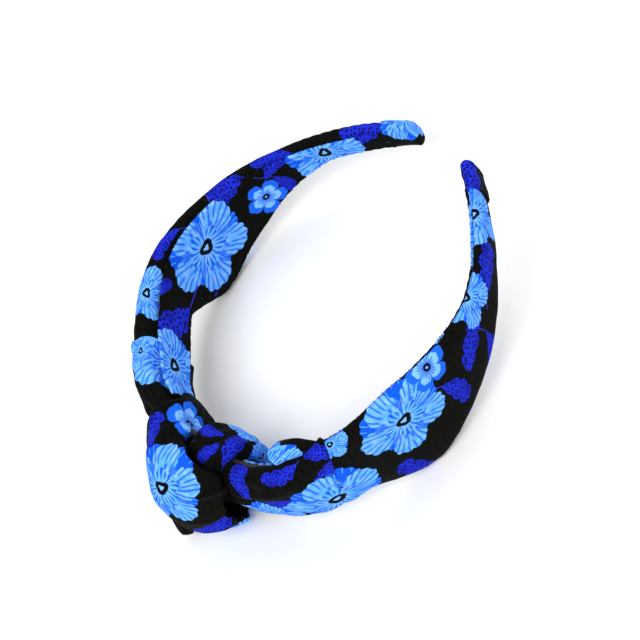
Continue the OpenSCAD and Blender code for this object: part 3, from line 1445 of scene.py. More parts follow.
@dataclass
class Arm:
    """One covered arm: cloth, gathered neck, lining, tip wrap and wadding.

    Attributes:
        shape: The arm's outline.
        cover_print: Motifs on the wide part of the cover.
        neck_print: Motifs on the gathered neck.
        lining_print: Motifs on the lining.
        tip_print: Motifs on the tip wrap.
        cover_start: Station where the wide part comes out from under the neck's fold.
        neck_end: Station of the neck's folded edge.
        fold_step: How far the neck's folded edge stands off the wide part.
        fold_lean: How far the neck's folded edge leans to the knot at the rear.
        cover_end: Station where the wide part ends, under the tip wrap.
        neck_start: Station where the neck leaves the knot.
        lining_start: First station of the lining.
        lining_end: Last station of the lining.
        lining_rear: Height of the lining's rear edge.
        front_strip: Width of cover that shows in front of the lining.
        wrap_start: First station of the tip wrap.
        wrap_end: Last station of the tip wrap.
        wrap_play: How far the tip wrap stands off the arm.
        wrap_round: Length over which the tip wrap closes.
        cloth: Thickness of the cloth.
        cover_girth: Width that the cover was cut to.
        neck_girth: Width of the same panel where it is gathered.
        lining_cut: Width and length that the lining was cut to.
        wrap_cut: Width and length that the tip wrap was cut to.
    """

    shape: ArmShape
    cover_print: Print
    neck_print: Print
    lining_print: Print
    tip_print: Print
    cover_start: float
    neck_end: float
    fold_step: float = 0.75
    fold_lean: float = 0.0
    cover_end: float = 198.4
    neck_start: float = 14.0
    lining_start: float = 18.0
    lining_end: float = 189.0
    lining_rear: Profile = Profile(
        (
            (18, 20), (36, 20), (60, 19), (76, 17.5), (86, 2.2), (94, 1.4),
            (120, 8.7), (140, 15), (160, 20.4), (200, 21),
        ),
        1.6,
    )
    front_strip: Profile = Profile(((18, 3.6), (80, 3.4), (100, 2.2), (120, 1.2), (200, 1.0)), 3.0)
    wrap_start: float = 186.8
    wrap_end: float = 200.6
    wrap_play: float = 0.95
    wrap_round: float = 2.2
    cloth: float = 0.7
    cover_girth: float = 92.0
    neck_girth: float = 78.0
    lining_cut: tuple[float, float] = (38.0, 171.0)
    wrap_cut: tuple[float, float] = (32.0, 16.5)

    @property
    def word(self) -> str:
        """Name of the side."""
        return self.shape.side.word

    @property
    def seed(self) -> int:
        """Seed of this arm's folds."""
        return 11 if self.shape.side is Side.LEFT else 29

    def cover(self) -> bpy.types.Object:
        """Makes the cloth over the wide part and the ear stretch.

        Returns:
            The piece.
        """
        points, flat, _, middle = Tube(self.shape, self.cover_start, self.cover_end, 230, 96).grid()
        normal = outward_normals(points, True, middle)
        s, t = flat[:, :-1, 0], flat[:, :-1, 1]
        waves = 0.22 * wander(s / 34, t / 22, self.seed)
        wrinkles = 0.16 * wander(s / 9, t / 60, self.seed + 1) * (1 - ease(s, 95, 120))
        at_edge = 1 - ease(np.abs(points[..., 2] - self.shape.front(s)), 0.4, 3.0)
        puckers = 0.28 * (np.abs(np.sin(math.pi * s / HEM_PITCH)) - 0.5)
        puckers = puckers * at_edge * ease(s, 140, 165)
        tucked = -0.9 * (1 - ease(s, self.cover_start, self.cover_start + 10))
        points = points + normal * (waves + wrinkles + puckers + tucked)[..., None]
        points = above_floor(points, 0.05)
        piece = ClothGrid(f"cover_{self.word}_band", points, flat, True, middle).make()
        return thicken(piece, self.cloth)

    def neck_play(self, station: float) -> float:
        """How far the neck stands off the arm; most where the cloth is bunched."""
        return self.fold_step + 0.56 * float(bell(np.array(station), 34, 14))

    def neck(self) -> bpy.types.Object:
        """Makes the gathered cloth between the wide part and the knot.

        Returns:
            The piece.
        """
        tube = Tube(
            self.shape, self.neck_start, self.neck_end, 130, 112, self.neck_play, self.fold_lean
        )
        points, flat, stations, middle = tube.grid()
        normal = outward_normals(points, True, middle)
        s, t = flat[:, :-1, 0], flat[:, :-1, 1]
        girth = (flat[:, -1, 1] - flat[:, 0, 1])[:, None]
        around = (t - flat[:, :1, 1]) / girth * FULL_TURN
        tight = 1 - ease(s, 20, 66)
        drift = 0.5 * wander(s / 40, around / 6, self.seed + 5)
        fold = np.sin(around * 7 + 3.0 * drift + self.seed) + 0.6 * np.sin(around * 11 - 2.4 * drift)
        lift = 0.55 * fold * (0.25 + 0.75 * tight)
        lift += 0.8 * wander(s / 26, around / 3.4, self.seed + 6)
        last = np.broadcast_to(stations[:, None], s.shape)
        hem = bell(last, self.neck_end - 1.0, 1.6) * 0.35
        hem = hem - 1.3 * ease(last, self.neck_end - 0.9, self.neck_end)
        points = above_floor(points + normal * (lift + hem)[..., None], 0.1)
        piece = ClothGrid(f"cover_{self.word}_neck", points, flat, True, middle).make()
        return thicken(piece, self.cloth)

    def lining(self) -> bpy.types.Object:
        """Makes the strip of cloth on the head side, with its turned and puckered hems.

        Returns:
            The piece.
        """
        rows, cols = 220, 40
        s = np.linspace(self.lining_start, self.lining_end, rows)[:, None] * np.ones((1, cols))
        share = np.linspace(0, 1, cols)[None, :] * np.ones((rows, 1))
        rear, front = self.lining_rear(s), self.shape.front(s) - self.front_strip(s)
        height = rear + (front - rear) * share
        to_edge = np.minimum(height - rear, front - height)
        ridge = 0.45 * bell(to_edge, 0.8, 0.7)
        lift = 0.55 + 0.35 * ease(to_edge, 0, 0.9) + ridge
        lift = lift + self.gathers(s)
        lift = lift + 0.2 * wander(s / 26, height / 18, self.seed + 9)
        pucker = 0.12 * np.sin(FULL_TURN * s / HEM_PITCH)
        lift = lift + pucker * (1 - ease(to_edge, 0.5, 4))
        out = self.shape.inner_face(s, height, lift)
        points = self.shape.line.at(s, out, height, self.shape.side)
        away = self.shape.line.at(s, out + 30, height, self.shape.side)
        flat = np.stack([s, height], -1)
        piece = ClothGrid(f"lining_{self.word}_strip", points, flat, False, away).make()
        return thicken(piece, self.cloth)

    @staticmethod
    def gathers(station: Array) -> Array:
        """How much further the lining stands off over the gathered neck."""
        return 1.1 * (1 - ease(station, 60, 80))

    def wrap_grow(self, station: float) -> float:
        """How far the tip wrap stands off the arm; it closes round the end.

        Args:
            station: Distance along the hoop line.

        Returns:
            The distance, below zero near the end.
        """
        left = max(self.wrap_end - station, 0.0)
        close = math.sqrt(max(1 - (1 - min(left / self.wrap_round, 1.0)) ** 2, 0.0))
        return self.wrap_play * close - 2.0 * (1 - close)

    def tip_wrap(self) -> bpy.types.Object:
        """Makes the cloth folded round the tip.

        Returns:
            The piece.
        """
        tube = Tube(self.shape, self.wrap_start, self.wrap_end, 44, 64, self.wrap_grow)
        points, flat, _, middle = tube.grid()
        normal = outward_normals(points, True, middle)
        s, t = flat[:, :-1, 0], flat[:, :-1, 1]
        edge = 0.5 * (1 - ease(s, self.wrap_start, self.wrap_start + 0.8))
        lift = 0.2 * wander(s / 7, t / 9, self.seed + 12) - edge
        points = points + normal * lift[..., None]
        name = f"tip_wrap_{self.word}_cloth"
        piece = ClothGrid(name, points, flat, True, middle, cap_last=True).make()
        return thicken(piece, self.cloth)

    def wadding(self) -> bpy.types.Object:
        """Makes the wadding inside the cloth, on the outer side of the hoop.

        Returns:
            The piece.
        """
        inside_cloth, off_hoop = -1.1, 0.3
        tube = Tube(self.shape, 17.0, 196.0, 90, 40, lambda s: inside_cloth)
        points, flat, stations, _ = tube.grid()
        side, line = self.shape.side, self.shape.line
        hoop_face = line.at(stations, np.full(len(stations), 0.2), points[:, 0, 2], side)
        turn = line.spot(stations)[2]
        outward = np.stack([side.value * np.sin(turn), -np.cos(turn), 0 * turn], -1)[:, None, :]
        depth = np.sum((points - hoop_face[:, None, :]) * outward, axis=-1, keepdims=True)
        points = points + outward * np.maximum(off_hoop - depth, 0)
        middle = points.mean(1, keepdims=True)
        name = f"wadding_{self.word}_fill"
        return ClothGrid(name, points, flat, True, middle, True, True).make()

    def build(self, finishes: Finishes) -> None:
        """Makes and dresses every piece of this arm.

        Args:
            finishes: The materials.
        """
        word = self.word
        cover, neck, lining = self.cover(), self.neck(), self.lining()
        wrap, fill = self.tip_wrap(), self.wadding()
        self.cover_print.lay(cover)
        self.neck_print.lay(neck)
        self.lining_print.lay(lining)
        self.tip_print.lay(wrap)
        dress(cover, finishes.cloth, "printed_cloth", f"cover_{word}")
        dress(neck, finishes.cloth, "printed_cloth")
        dress(lining, finishes.lining, "lining_cloth", f"lining_{word}")
        dress(wrap, finishes.cloth, "printed_cloth", f"tip_wrap_{word}")
        dress(fill, finishes.wadding, "wadding", f"wadding_{word}")
        cover_cut = in_metres((self.cover_girth, self.cover_end - self.cover_start))
        neck_cut = in_metres((self.neck_girth, self.neck_end - self.neck_start))
        lining_cut, wrap_cut = in_metres(self.lining_cut), in_metres(self.wrap_cut)
        surface(cover) / 2
        surface(lining) / 2
        for piece in (cover, neck, lining, wrap, fill):
            report(piece)

    def hem_rows(self) -> list[tuple[Array, Array]]:
        """Lines of the lining's two hems.

        Returns:
            For each hem its points and the directions away from the cloth.
        """
        side, line, shape = self.shape.side, self.shape.line, self.shape
        s = np.linspace(26, 185, 160)
        rows = []
        for height in (self.lining_rear(s) + 0.3, shape.front(s) - self.front_strip(s) - 0.3):
            lift = 0.55 + self.gathers(s)
            spots = line.at(s, shape.inner_face(s, height, lift), height, side)
            ahead = line.at(s, shape.inner_face(s, height, lift + 1), height, side)
            rows.append((spots, ahead - spots))
        return rows

    def band_row(
        self, station: float, grow: float, keep: float, lean: float
    ) -> tuple[Array, Array]:
        """Line round the arm at a station.

        Args:
            station: Distance along the hoop line.
            grow: Distance off the arm's outline.
            keep: Share of the way round that is sewn, from the outer middle.
            lean: How far the line leans to the knot at the rear edge.

        Returns:
            Its points and the directions away from the cloth.
        """
        side, line, shape = self.shape.side, self.shape.line, self.shape
        section, run = shape.outline(station, grow, 120)
        beyond, _ = shape.outline(station, grow + 1, 120)
        sewn = np.abs(run) <= keep * run.max()
        near = station - lean * shape.fall(station, section[:, 1])
        spots = line.at(near, section[:, 0], section[:, 1], side)[sewn]
        ahead = line.at(near, beyond[:, 0], beyond[:, 1], side)[sewn]
        return spots, ahead - spots

    def sew(self, needle: "Needlework") -> None:
        """Sews the lining's hems, the tip wrap and the neck's folded edge.

        Args:
            needle: The needlework.
        """
        hems = f"hem_stitches_{self.word}"
        needle.sew(f"{hems}_rows", self.hem_rows(), 4.0, 1.7, 62, self.seed, [hems])
        tip = self.band_row(self.wrap_start + 0.9, 0.92, 1.0, 0.0)
        tuck = self.band_row(self.neck_end - 1.0, self.fold_step + 0.25, 0.42, self.fold_lean)
        for name, row in (("tip", tip), ("tuck", tuck)):
            node = f"{name}_stitches_{self.word}"
            needle.sew(f"{node}_rows", [row], 4.5, 1.5, 70, self.seed + 1, [node])


# ---------------------------------------------------------------- knot


@dataclass
class KnotShell:
    """The big loop: a wide padded wrap that goes right round the crown.

    Lengths count from the crown: X along the band, Y into the opening, Z from the
    band's middle height. Edges are given by the angle round the wrap, from the
    opening's side over the front.

    Attributes:
        line: The hoop's line.
        prints: Motifs on the wrap.
        middle_z: The band's middle height.
        outer: Y of its outer side at an X.
        inner: Y of its inner side at an X.
        front: Height of its front above the middle at an X.
        rear: Depth of its rear below the middle at an X.
        left_edge: X of its left edge at an angle in degrees.
        right_edge: X of its right edge at an angle in degrees.
        roll: Radius of its rolled edges.
        squareness: Exponent of its rounded section.
        under_tuck: How far its inner side is drawn in towards the rear.
        cloth: Thickness of the cloth.
        girth: Radius by which the print is laid round it.
        cut: Width and length that the loop was cut to.
    """

    line: HoopLine
    prints: Print
    middle_z: float = 24.0
    outer: Profile = Profile(
        (
            (-22, -6.5), (-18, -10), (-10, -17.5), (0, -25.2), (6, -28.6), (12, -28.8),
            (16, -27.6), (20, -25), (25, -19.5), (29, -13.5), (35, -6),
        ),
        1.5,
    )
    inner: Profile = Profile(
        (
            (-22, 10.4), (-12, 9.4), (-8, 6.6), (-5, 4.2),
            (2, 3.4), (12, 5), (24, 8), (34, 9),
        ),
        1.5,
    )
    front: Profile = Profile(
        (
            (-22, 16.5), (-15, 18.6), (-8, 20.2), (2, 21.6),
            (12, 21.2), (20, 19), (26, 17.2), (34, 16),
        ),
        2.0,
    )
    rear: Profile = Profile(
        (
            (-22, -17), (-12, -21.5), (-4, -23.7), (16, -23.7),
            (21, -22.5), (28, -18.5), (34, -13),
        ),
        2.0,
    )
    left_edge: Profile = Profile(
        (
            (-190, -18), (-90, -16), (-20, -19), (22, -19.5), (48, -13.5),
            (70, -14.5), (90, -15.5), (125, -17), (170, -19.5),
        ),
        8.0,
    )
    right_edge: Profile = Profile(
        (
            (-190, 27), (-120, 25), (-60, 12), (-30, 1), (0, -1.5), (35, 0),
            (55, 6), (75, 18), (95, 27), (130, 31), (170, 27),
        ),
        8.0,
    )
    roll: float = 2.4
    squareness: float = 2.0
    under_tuck: float = 1.8
    cloth: float = 0.9
    girth: float = 22.0
    cut: tuple[float, float] = (52.0, 118.0)

    def place(self, angle: Array, x: Array, inset: Array) -> Array:
        """Points on the wrap.

        Args:
            angle: Angles round it, in degrees.
            x: Places along the band.
            inset: Distances inside its surface.

        Returns:
            Points in the row frame.
        """
        outer, inner = self.outer(x) + inset, self.inner(x) - inset
        front, rear = self.front(x) - inset, self.rear(x) + inset
        c, s = np.cos(np.radians(angle)), np.sin(np.radians(angle))
        power = 2 / self.squareness
        y = (outer + inner) / 2 + (inner - outer) / 2 * signed_power(c, power)
        z = (front + rear) / 2 + (front - rear) / 2 * signed_power(s, power)
        y = y - self.under_tuck * np.maximum(c, 0) * ease(-z, -6, 6)
        return np.stack([x, self.line.crown_y + y, self.middle_z + z], -1)

    @staticmethod
    def folds(x: Array, around: Array) -> Array:
        """How far the cloth rises in its folds.

        Args:
            x: Places along the band.
            around: Angles round the wrap, in radians.

        Returns:
            Heights above the smooth form.
        """
        lift = 0.5 * wander(x / 21, around * 1.1, 41)
        squeeze = ease(x, 10, 30)
        lift += squeeze * 0.75 * np.sin(around * 9 + 1.2 * wander(x / 30, around, 42))
        crease = around - math.radians(112) - (x - 14) * 0.012
        lift += -1.1 * bell(crease, 0, 0.10) * ease(x, 8, 16)
        lift += 0.9 * bell(around - math.radians(96), 0, 0.16) * ease(x, 10, 18)
        dent = x + 0.22 * np.degrees(around - 1.6)
        lift += -0.8 * bell(dent, -4, 3.0) * bell(around, 1.5, 0.7)
        ripple = np.sin(x * 0.62 + 3 * np.sin(around))
        lift += 0.45 * ripple * bell(around, 1.2, 1.0) * (1 - squeeze)
        return lift

    def grid(self) -> tuple[Array, Array, Array]:
        """Lays out the wrap from its rolled left edge to its rolled right edge.

        Returns:
            Points, cloth coordinates and the middle of each ring.
        """
        columns, main, edge = 176, 84, 9
        angle = np.linspace(-180, 180, columns, endpoint=False)
        left, right = self.left_edge(angle), self.right_edge(angle)
        level = np.zeros(columns)
        bend = np.linspace(math.pi, 0, edge)[:-1]
        rows = []
        for b in bend:
            rows.append((left + self.roll * (1 - np.sin(b)), level + self.roll * (1 - np.cos(b))))
        for share in np.linspace(0, 1, main):
            x = left + self.roll + share * (right - left - 2 * self.roll)
            rows.append((x, level))
        for b in bend[::-1]:
            rows.append((right - self.roll * (1 - np.sin(b)), level + self.roll * (1 - np.cos(b))))
        points = np.array([self.place(angle, x, inset) for x, inset in rows])
        normal = outward_normals(points, True, points.mean(1, keepdims=True))
        x = np.array([row[0] for row in rows])
        lift = self.folds(x, np.broadcast_to(np.radians(angle), x.shape))
        points = above_floor(points + normal * lift[..., None], 0.15)
        steps = np.linalg.norm(np.diff(points, axis=0), axis=-1)
        across = np.cumsum(np.concatenate([np.zeros((1, columns)), steps]), axis=0)
        across -= across[edge + main // 2][None, :]
        wrapped = np.concatenate([across, across[:, :1]], axis=1)
        run = np.radians(np.append(angle, 180.0)) * self.girth
        flat = np.stack([wrapped, np.broadcast_to(run, wrapped.shape)], -1)
        return points, flat, points.mean(1, keepdims=True)

    def build(self, finishes: Finishes) -> None:
        """Makes and dresses the wrap.

        Args:
            finishes: The materials.
        """
        points, flat, middle = self.grid()
        piece = ClothGrid("knot_loop_right_wrap", points, flat, True, middle).make()
        thicken(piece, self.cloth)
        self.prints.lay(piece)
        dress(piece, finishes.cloth, "printed_cloth", "knot_loop_right")
        in_metres(self.cut)
        report(piece)


@dataclass
class PaddedRing:
    """The small loop: a padded band that hooks round the big one.

    Attributes:
        line: The hoop's line.
        prints: Motifs on it.
        middle: X, Y from the crown and height of its middle.
        across: Half its size along Y and Z, to the middle of its wall.
        half_width: Half its width along the band.
        half_wall: Half its thickness.
        slant: How far it leans along the band.
        wall_radius: Radius by which the print is laid round its wall.
        ring_radius: Radius by which the print is laid along it.
        seam: Distance within which its two ends are joined.
    """

    line: HoopLine
    prints: Print
    middle: tuple[float, float, float] = (12.7, 1.2, 22.4)
    across: tuple[float, float] = (8.2, 15.2)
    half_width: float = 9.9
    half_wall: float = 3.4
    slant: float = 1.5
    wall_radius: float = 7.95
    ring_radius: float = 14.0
    seam: float = 0.01

    def grid(self) -> tuple[Array, Array, Array]:
        """Lays out the loop, ring by ring.

        Returns:
            Points, cloth coordinates and the middle of each ring.
        """
        rings, sides = 120, 56
        u = np.linspace(0, FULL_TURN, rings + 1)[:, None]
        v = np.linspace(0, FULL_TURN, sides, endpoint=False)[None, :]
        cx, cy, cz = self.middle
        wide = self.half_width * (1 + 0.08 * np.sin(2 * u))
        swell = 1 + 0.28 * bell(np.cos(v), 1, 0.5)
        side = wide * signed_power(np.cos(v), 0.8)
        outside = np.sin(v) > 0
        lean = 1 + 0.34 * side / self.half_width * outside
        thick = self.half_wall * signed_power(np.sin(v), 0.8) * swell * lean
        thick = thick + 0.5 * wander(side / 9 + 0 * u, np.sin(u) * 1.3 + 0 * v, 51)
        thick = thick + 0.35 * np.sin(side * 0.9 + 2 * np.sin(u)) * outside
        y = self.line.crown_y + cy + np.cos(u) * (self.across[0] + thick)
        z = cz + np.sin(u) * (self.across[1] + thick)
        x = cx + side + self.slant * np.sin(u) + 0.02 * z
        points = above_floor(np.stack([x, y, z], -1), 0.2)
        points[-1] = points[0]
        core_y = self.line.crown_y + cy + np.cos(u) * self.across[0]
        core_z = cz + np.sin(u) * self.across[1]
        core = np.stack([cx + self.slant * np.sin(u), core_y, core_z], -1)
        run = np.append(v[0], FULL_TURN) * self.wall_radius
        flat = np.stack(np.broadcast_arrays(u * self.ring_radius, run[None, :]), -1)
        return points, flat, core

    def build(self, finishes: Finishes) -> None:
        """Makes and dresses the loop.

        Args:
            finishes: The materials.
        """
        points, flat, core = self.grid()
        piece = ClothGrid("knot_loop_left_band", points, flat, True, core).make()
        weld = piece.modifiers.new("Join", "WELD")
        weld.merge_threshold = self.seam * MM
        bake(piece)
        self.prints.lay(piece)
        dress(piece, finishes.cloth, "printed_cloth", "knot_loop_left")
        report(piece)


@dataclass
class Roll:
    """A rolled or bunched length of cloth with rounded ends.

    Attributes:
        name: Name of the piece.
        spine: Points along its middle, in the row frame.
        radii: Radius at each of those points.
        seed: Seed of its folds.
        fold: Depth of the folds along it.
        height: Its height as a share of its width.
    """

    name: str
    spine: tuple[tuple[float, float, float], ...]
    radii: tuple[float, ...]
    seed: int
    fold: float = 0.3
    height: float = 1.0

    def make(self) -> bpy.types.Object:
        """Makes the closed roll.

        Returns:
            The piece.
        """
        rows, cols = 72, 48
        knots = np.array(self.spine, float)
        spread = np.linspace(0, 1, len(knots))
        t = np.linspace(0, 1, rows)
        tracks = [Profile(tuple(zip(spread, knots[:, k])), 0.12)(t) for k in range(3)]
        path = np.stack(tracks, -1)
        radius = Profile(tuple(zip(spread, self.radii)), 0.1)(t)
        length = float(np.linalg.norm(np.diff(path, axis=0), axis=1).sum())
        gap = np.minimum(t, 1 - t) * length
        reach = np.maximum(radius, 1e-3)
        dome = np.sqrt(np.clip(1 - (1 - np.minimum(gap / reach, 1)) ** 2, 0.0004, 1))
        radius = radius * dome
        tangent = np.gradient(path, axis=0)
        tangent /= np.linalg.norm(tangent, axis=1, keepdims=True)
        side = np.cross(tangent, (0, 0, 1.0))
        side /= np.linalg.norm(side, axis=1, keepdims=True)
        rise = np.cross(side, tangent)
        angle = np.linspace(0, FULL_TURN, cols + 1)
        a, along = angle[None, :-1], (t * length)[:, None]
        pleats = 0.5 * np.sin(a * 5 + along * 0.25 + self.seed)
        waves = wander(along / 14 + 0 * a, np.sin(a) + 0 * along, self.seed)
        wavy = 1 + self.fold * (pleats + waves) / np.maximum(radius[:, None], 0.5)
        ring = radius[:, None] * np.clip(wavy, 0.3, 1.8)
        wide = (ring * np.cos(a))[..., None] * side[:, None, :]
        high = (ring * np.sin(a) * self.height)[..., None] * rise[:, None, :]
        points = above_floor(path[:, None, :] + wide + high, 0.2)
        run = angle[None, :] * float(np.mean(self.radii))
        flat = np.stack(np.broadcast_arrays(along, run), -1)
        return ClothGrid(self.name, points, flat, True, path[:, None, :], True, True).make()


# ---------------------------------------------------------------- sewing


@dataclass
class Needlework:
    """Stitches laid along lines by Geometry Nodes.

    Attributes:
        material: The thread.
        thread: Thread diameter.
        unevenness: Largest turn of a stitch away from its slant, in radians.
        defaults: The tree's inputs, in metres and radians.
    """

    material: bpy.types.Material
    thread: float = 0.34
    unevenness: float = 0.14
    defaults: tuple[tuple[str, float], ...] = (
        ("Pitch", 0.004),
        ("Stitch Length", 0.0026),
        ("Thread Diameter", 0.0004),
        ("Slant", 1.0),
    )

    def tree(self) -> bpy.types.NodeTree:
        """Builds the tree that lays a slanted stitch at every step of a line.

        Returns:
            The node tree.
        """
        tree = bpy.data.node_groups.new("whip_stitches", "GeometryNodeTree")
        face = tree.interface
        face.new_socket("Geometry", in_out="INPUT", socket_type="NodeSocketGeometry")
        for name, default in self.defaults:
            socket = face.new_socket(name, in_out="INPUT", socket_type="NodeSocketFloat")
            socket.default_value = default
        face.new_socket("Seed", in_out="INPUT", socket_type="NodeSocketInt").default_value = 3
        face.new_socket("Geometry", in_out="OUTPUT", socket_type="NodeSocketGeometry")
        given = add_node(tree, "NodeGroupInput")
        result = add_node(tree, "NodeGroupOutput")
        link = tree.links.new
        curve = add_node(tree, "GeometryNodeMeshToCurve")
        steps = add_node(tree, "GeometryNodeResampleCurve", mode="LENGTH")
        link(given.outputs["Geometry"], curve.inputs[0])
        link(curve.outputs[0], steps.inputs["Curve"])
        link(given.outputs["Pitch"], steps.inputs["Length"])
        length = Wire(tree, given.outputs["Stitch Length"])
        diameter = Wire(tree, given.outputs["Thread Diameter"])
        arch = add_node(tree, "GeometryNodeCurveQuadraticBezier")
        arch.inputs["Resolution"].default_value = 5
        bends = (("Start", 0, length * -0.5), ("Middle", 2, diameter), ("End", 0, length * 0.5))
        for name, axis, value in bends:
            point = add_node(tree, "ShaderNodeCombineXYZ")
            link(value.socket, point.inputs[axis])
            link(point.outputs[0], arch.inputs[name])
        ring = add_node(tree, "GeometryNodeCurvePrimitiveCircle", mode="RADIUS")
        ring.inputs["Resolution"].default_value = 6
        link((diameter * 0.5).socket, ring.inputs["Radius"])
        strand = add_node(tree, "GeometryNodeCurveToMesh")
        strand.inputs["Fill Caps"].default_value = True
        link(arch.outputs[0], strand.inputs["Curve"])
        link(ring.outputs[0], strand.inputs["Profile Curve"])
        heading = add_node(tree, "GeometryNodeInputTangent")
        out = add_node(tree, "GeometryNodeInputNamedAttribute", data_type="FLOAT_VECTOR")
        out.inputs["Name"].default_value = "face_out"
        first = add_node(tree, "FunctionNodeAlignRotationToVector", axis="X")
        second = add_node(tree, "FunctionNodeAlignRotationToVector", axis="Z", pivot_axis="X")
        link(heading.outputs[0], first.inputs["Vector"])
        link(first.outputs[0], second.inputs["Rotation"])
        link(out.outputs[0], second.inputs["Vector"])
        jitter = add_node(tree, "FunctionNodeRandomValue", data_type="FLOAT")
        jitter.inputs[2].default_value = -self.unevenness
        jitter.inputs[3].default_value = self.unevenness
        link(given.outputs["Seed"], jitter.inputs["Seed"])
        lean = Wire(tree, given.outputs["Slant"]) + Wire(tree, jitter.outputs[1])
        spin = add_node(tree, "FunctionNodeAxisAngleToRotation")
        spin.inputs["Axis"].default_value = (0, 0, 1)
        link(lean.socket, spin.inputs["Angle"])
        turned = add_node(tree, "FunctionNodeRotateRotation", rotation_space="LOCAL")
        link(second.outputs[0], turned.inputs[0])
        link(spin.outputs[0], turned.inputs[1])
        place = add_node(tree, "GeometryNodeInstanceOnPoints")
        link(steps.outputs[0], place.inputs["Points"])
        link(strand.outputs[0], place.inputs["Instance"])
        link(turned.outputs[0], place.inputs["Rotation"])
        real = add_node(tree, "GeometryNodeRealizeInstances")
        finish = add_node(tree, "GeometryNodeSetMaterial")
        finish.inputs["Material"].default_value = self.material
        link(place.outputs[0], real.inputs[0])
        link(real.outputs[0], finish.inputs[0])
        link(finish.outputs[0], result.inputs[0])
        return tree

    def sew(
        self,
        name: str,
        lines: Sequence[tuple[Array, Array]],
        pitch: float,
        length: float,
        slant: float,
        seed: int,
        nodes: Sequence[str],
    ) -> bpy.types.Object:
        """Sews a row of stitches along each line.

        Args:
            name: Name of the piece.
            lines: For each row its points and the directions away from the cloth.
            pitch: Distance between stitches.
            length: Length of a stitch.
            slant: Angle from the line, in degrees.
            seed: Seed of the small differences.
            nodes: CAD nodes the stitches stand for.

        Returns:
            The piece.
        """
        points = np.concatenate([p for p, _ in lines]) * MM
        away = np.concatenate([np.broadcast_to(n, p.shape) for p, n in lines])
        edges, base = [], 0
        for p, _ in lines:
            edges += [(base + i, base + i + 1) for i in range(len(p) - 1)]
            base += len(p)
        mesh = bpy.data.meshes.new(name)
        mesh.from_pydata(points.tolist(), edges, [])
        store = mesh.attributes.new("face_out", "FLOAT_VECTOR", "POINT")
        store.data.foreach_set("vector", away.astype(np.float32).ravel())
        piece = bpy.data.objects.new(name, mesh)
        bpy.context.scene.collection.objects.link(piece)
        rows = piece.modifiers.new("Stitches", "NODES")
        rows.node_group = bpy.data.node_groups.get("whip_stitches") or self.tree()
        inputs = (i for i in rows.node_group.interface.items_tree if i.in_out == "INPUT")
        named = {i.name: i.identifier for i in inputs}
        rows[named["Pitch"]] = pitch * MM
        rows[named["Stitch Length"]] = length * MM
        rows[named["Thread Diameter"]] = self.thread * MM
        rows[named["Slant"]] = math.radians(slant)
        rows[named["Seed"]] = seed
        bake(piece)
        piece.data.shade_smooth()
        dress(piece, self.material, "thread", *nodes)
        report(piece)
        return piece


@dataclass
class Knot:
    """Everything between the two necks.

    Attributes:
        line: The hoop's line.
        prints: The print of each piece, by its short name.
        tack_height: Lowest and highest tack.
        tack_columns: X of the two columns of tacks.
    """

    line: HoopLine
    prints: dict[str, Print]
    tack_height: tuple[float, float] = (14.0, 31.0)
    tack_columns: tuple[float, float] = (-1.0, 4.0)

    def crown(self, *points: tuple[float, float, float]) -> tuple[tuple[float, float, float], ...]:
        """Moves points from the crown's frame to the row frame."""
        return tuple((x, self.line.crown_y + y, z) for x, y, z in points)

    def core(self) -> Roll:
        """Gives the bunched middle that fills the knot."""
        spine = self.crown((-14, -3, 23), (-4, -9, 23), (8, -11, 23), (18, -6, 23))
        return Roll("knot_core_bunch", spine, (9, 12, 12, 8), 71, 0.6, 1.2)

    def tuck(self) -> Roll:
        """Gives the panel's end that comes out from under the big loop.

        Returns:
            Its form.
        """
        spine = self.crown(
            (-5, -17, 12), (-5, -22.5, 9.5), (-3, -27.2, 7.6), (2, -29.6, 6.8), (7, -29.6, 6.8)
        )
        return Roll("knot_tuck_end", spine, (5.0, 5.0, 4.0, 3.4, 2.8), 72)

    def curl(self) -> Roll:
        """Gives the curled front edge of the right neck, beside the small loop.

        Returns:
            Its form.
        """
        stations = np.array([45.2, 49.0, 54.0, 60.0, 67.0])
        out = np.array([-2.6, -3.4, -3.6, -2.6, -0.8])
        height = np.array([38.8, 40.2, 41.6, 42.2, 42.0])
        spine = self.line.at(stations, out, height, Side.RIGHT)
        spots = tuple(tuple(spot) for spot in spine.tolist())
        return Roll("knot_curl_right", spots, (3.8, 4.4, 4.0, 3.0, 1.6), 73)

    def stuff(
        self, finishes: Finishes, form: Roll, prints: Print, fill: float, *nodes: str
    ) -> bpy.types.Object:
        """Makes and dresses one stuffed roll of cloth.

        Args:
            finishes: The materials.
            form: Its form.
            prints: Motifs on it.
            fill: Not used.
            *nodes: CAD nodes it stands for.

        Returns:
            The piece.
        """
        piece = form.make()
        prints.lay(piece)
        dress(piece, finishes.cloth, "printed_cloth", *nodes)
        report(piece)
        return piece

    def tack(self, needle: Needlework) -> None:
        """Sews the two columns of tacks behind the crossing.

        Args:
            needle: The needlework.
        """
        count = 20
        z = np.linspace(*self.tack_height, count)
        rows = []
        for x in self.tack_columns:
            y = self.line.crown_y + 4.3 - abs(x) * 0.1
            spots = np.stack([np.full(count, x), np.full(count, y), z], -1)
            rows.append((spots, (0.0, 1.0, 0.0)))
        needle.sew("knot_tacks_rows", rows, 5.6, 2.4, 75, 5, ["knot_tacks"])

    def build(self, finishes: Finishes, needle: Needlework) -> None:
        """Makes the bunched middle, the two loops, the tucked end, the curl and the tacks.

        Args:
            finishes: The materials.
            needle: The needlework.
        """
        prints = self.prints
        self.stuff(finishes, self.core(), prints["core"], 0.7, "knot_core")
        KnotShell(self.line, prints["shell"]).build(finishes)
        PaddedRing(self.line, prints["ring"]).build(finishes)
        self.stuff(finishes, self.tuck(), prints["tuck"], 0.4, "knot_tuck")
        self.stuff(finishes, self.curl(), prints["curl"], 0.5)
        self.tack(needle)


# ---------------------------------------------------------------- this headband


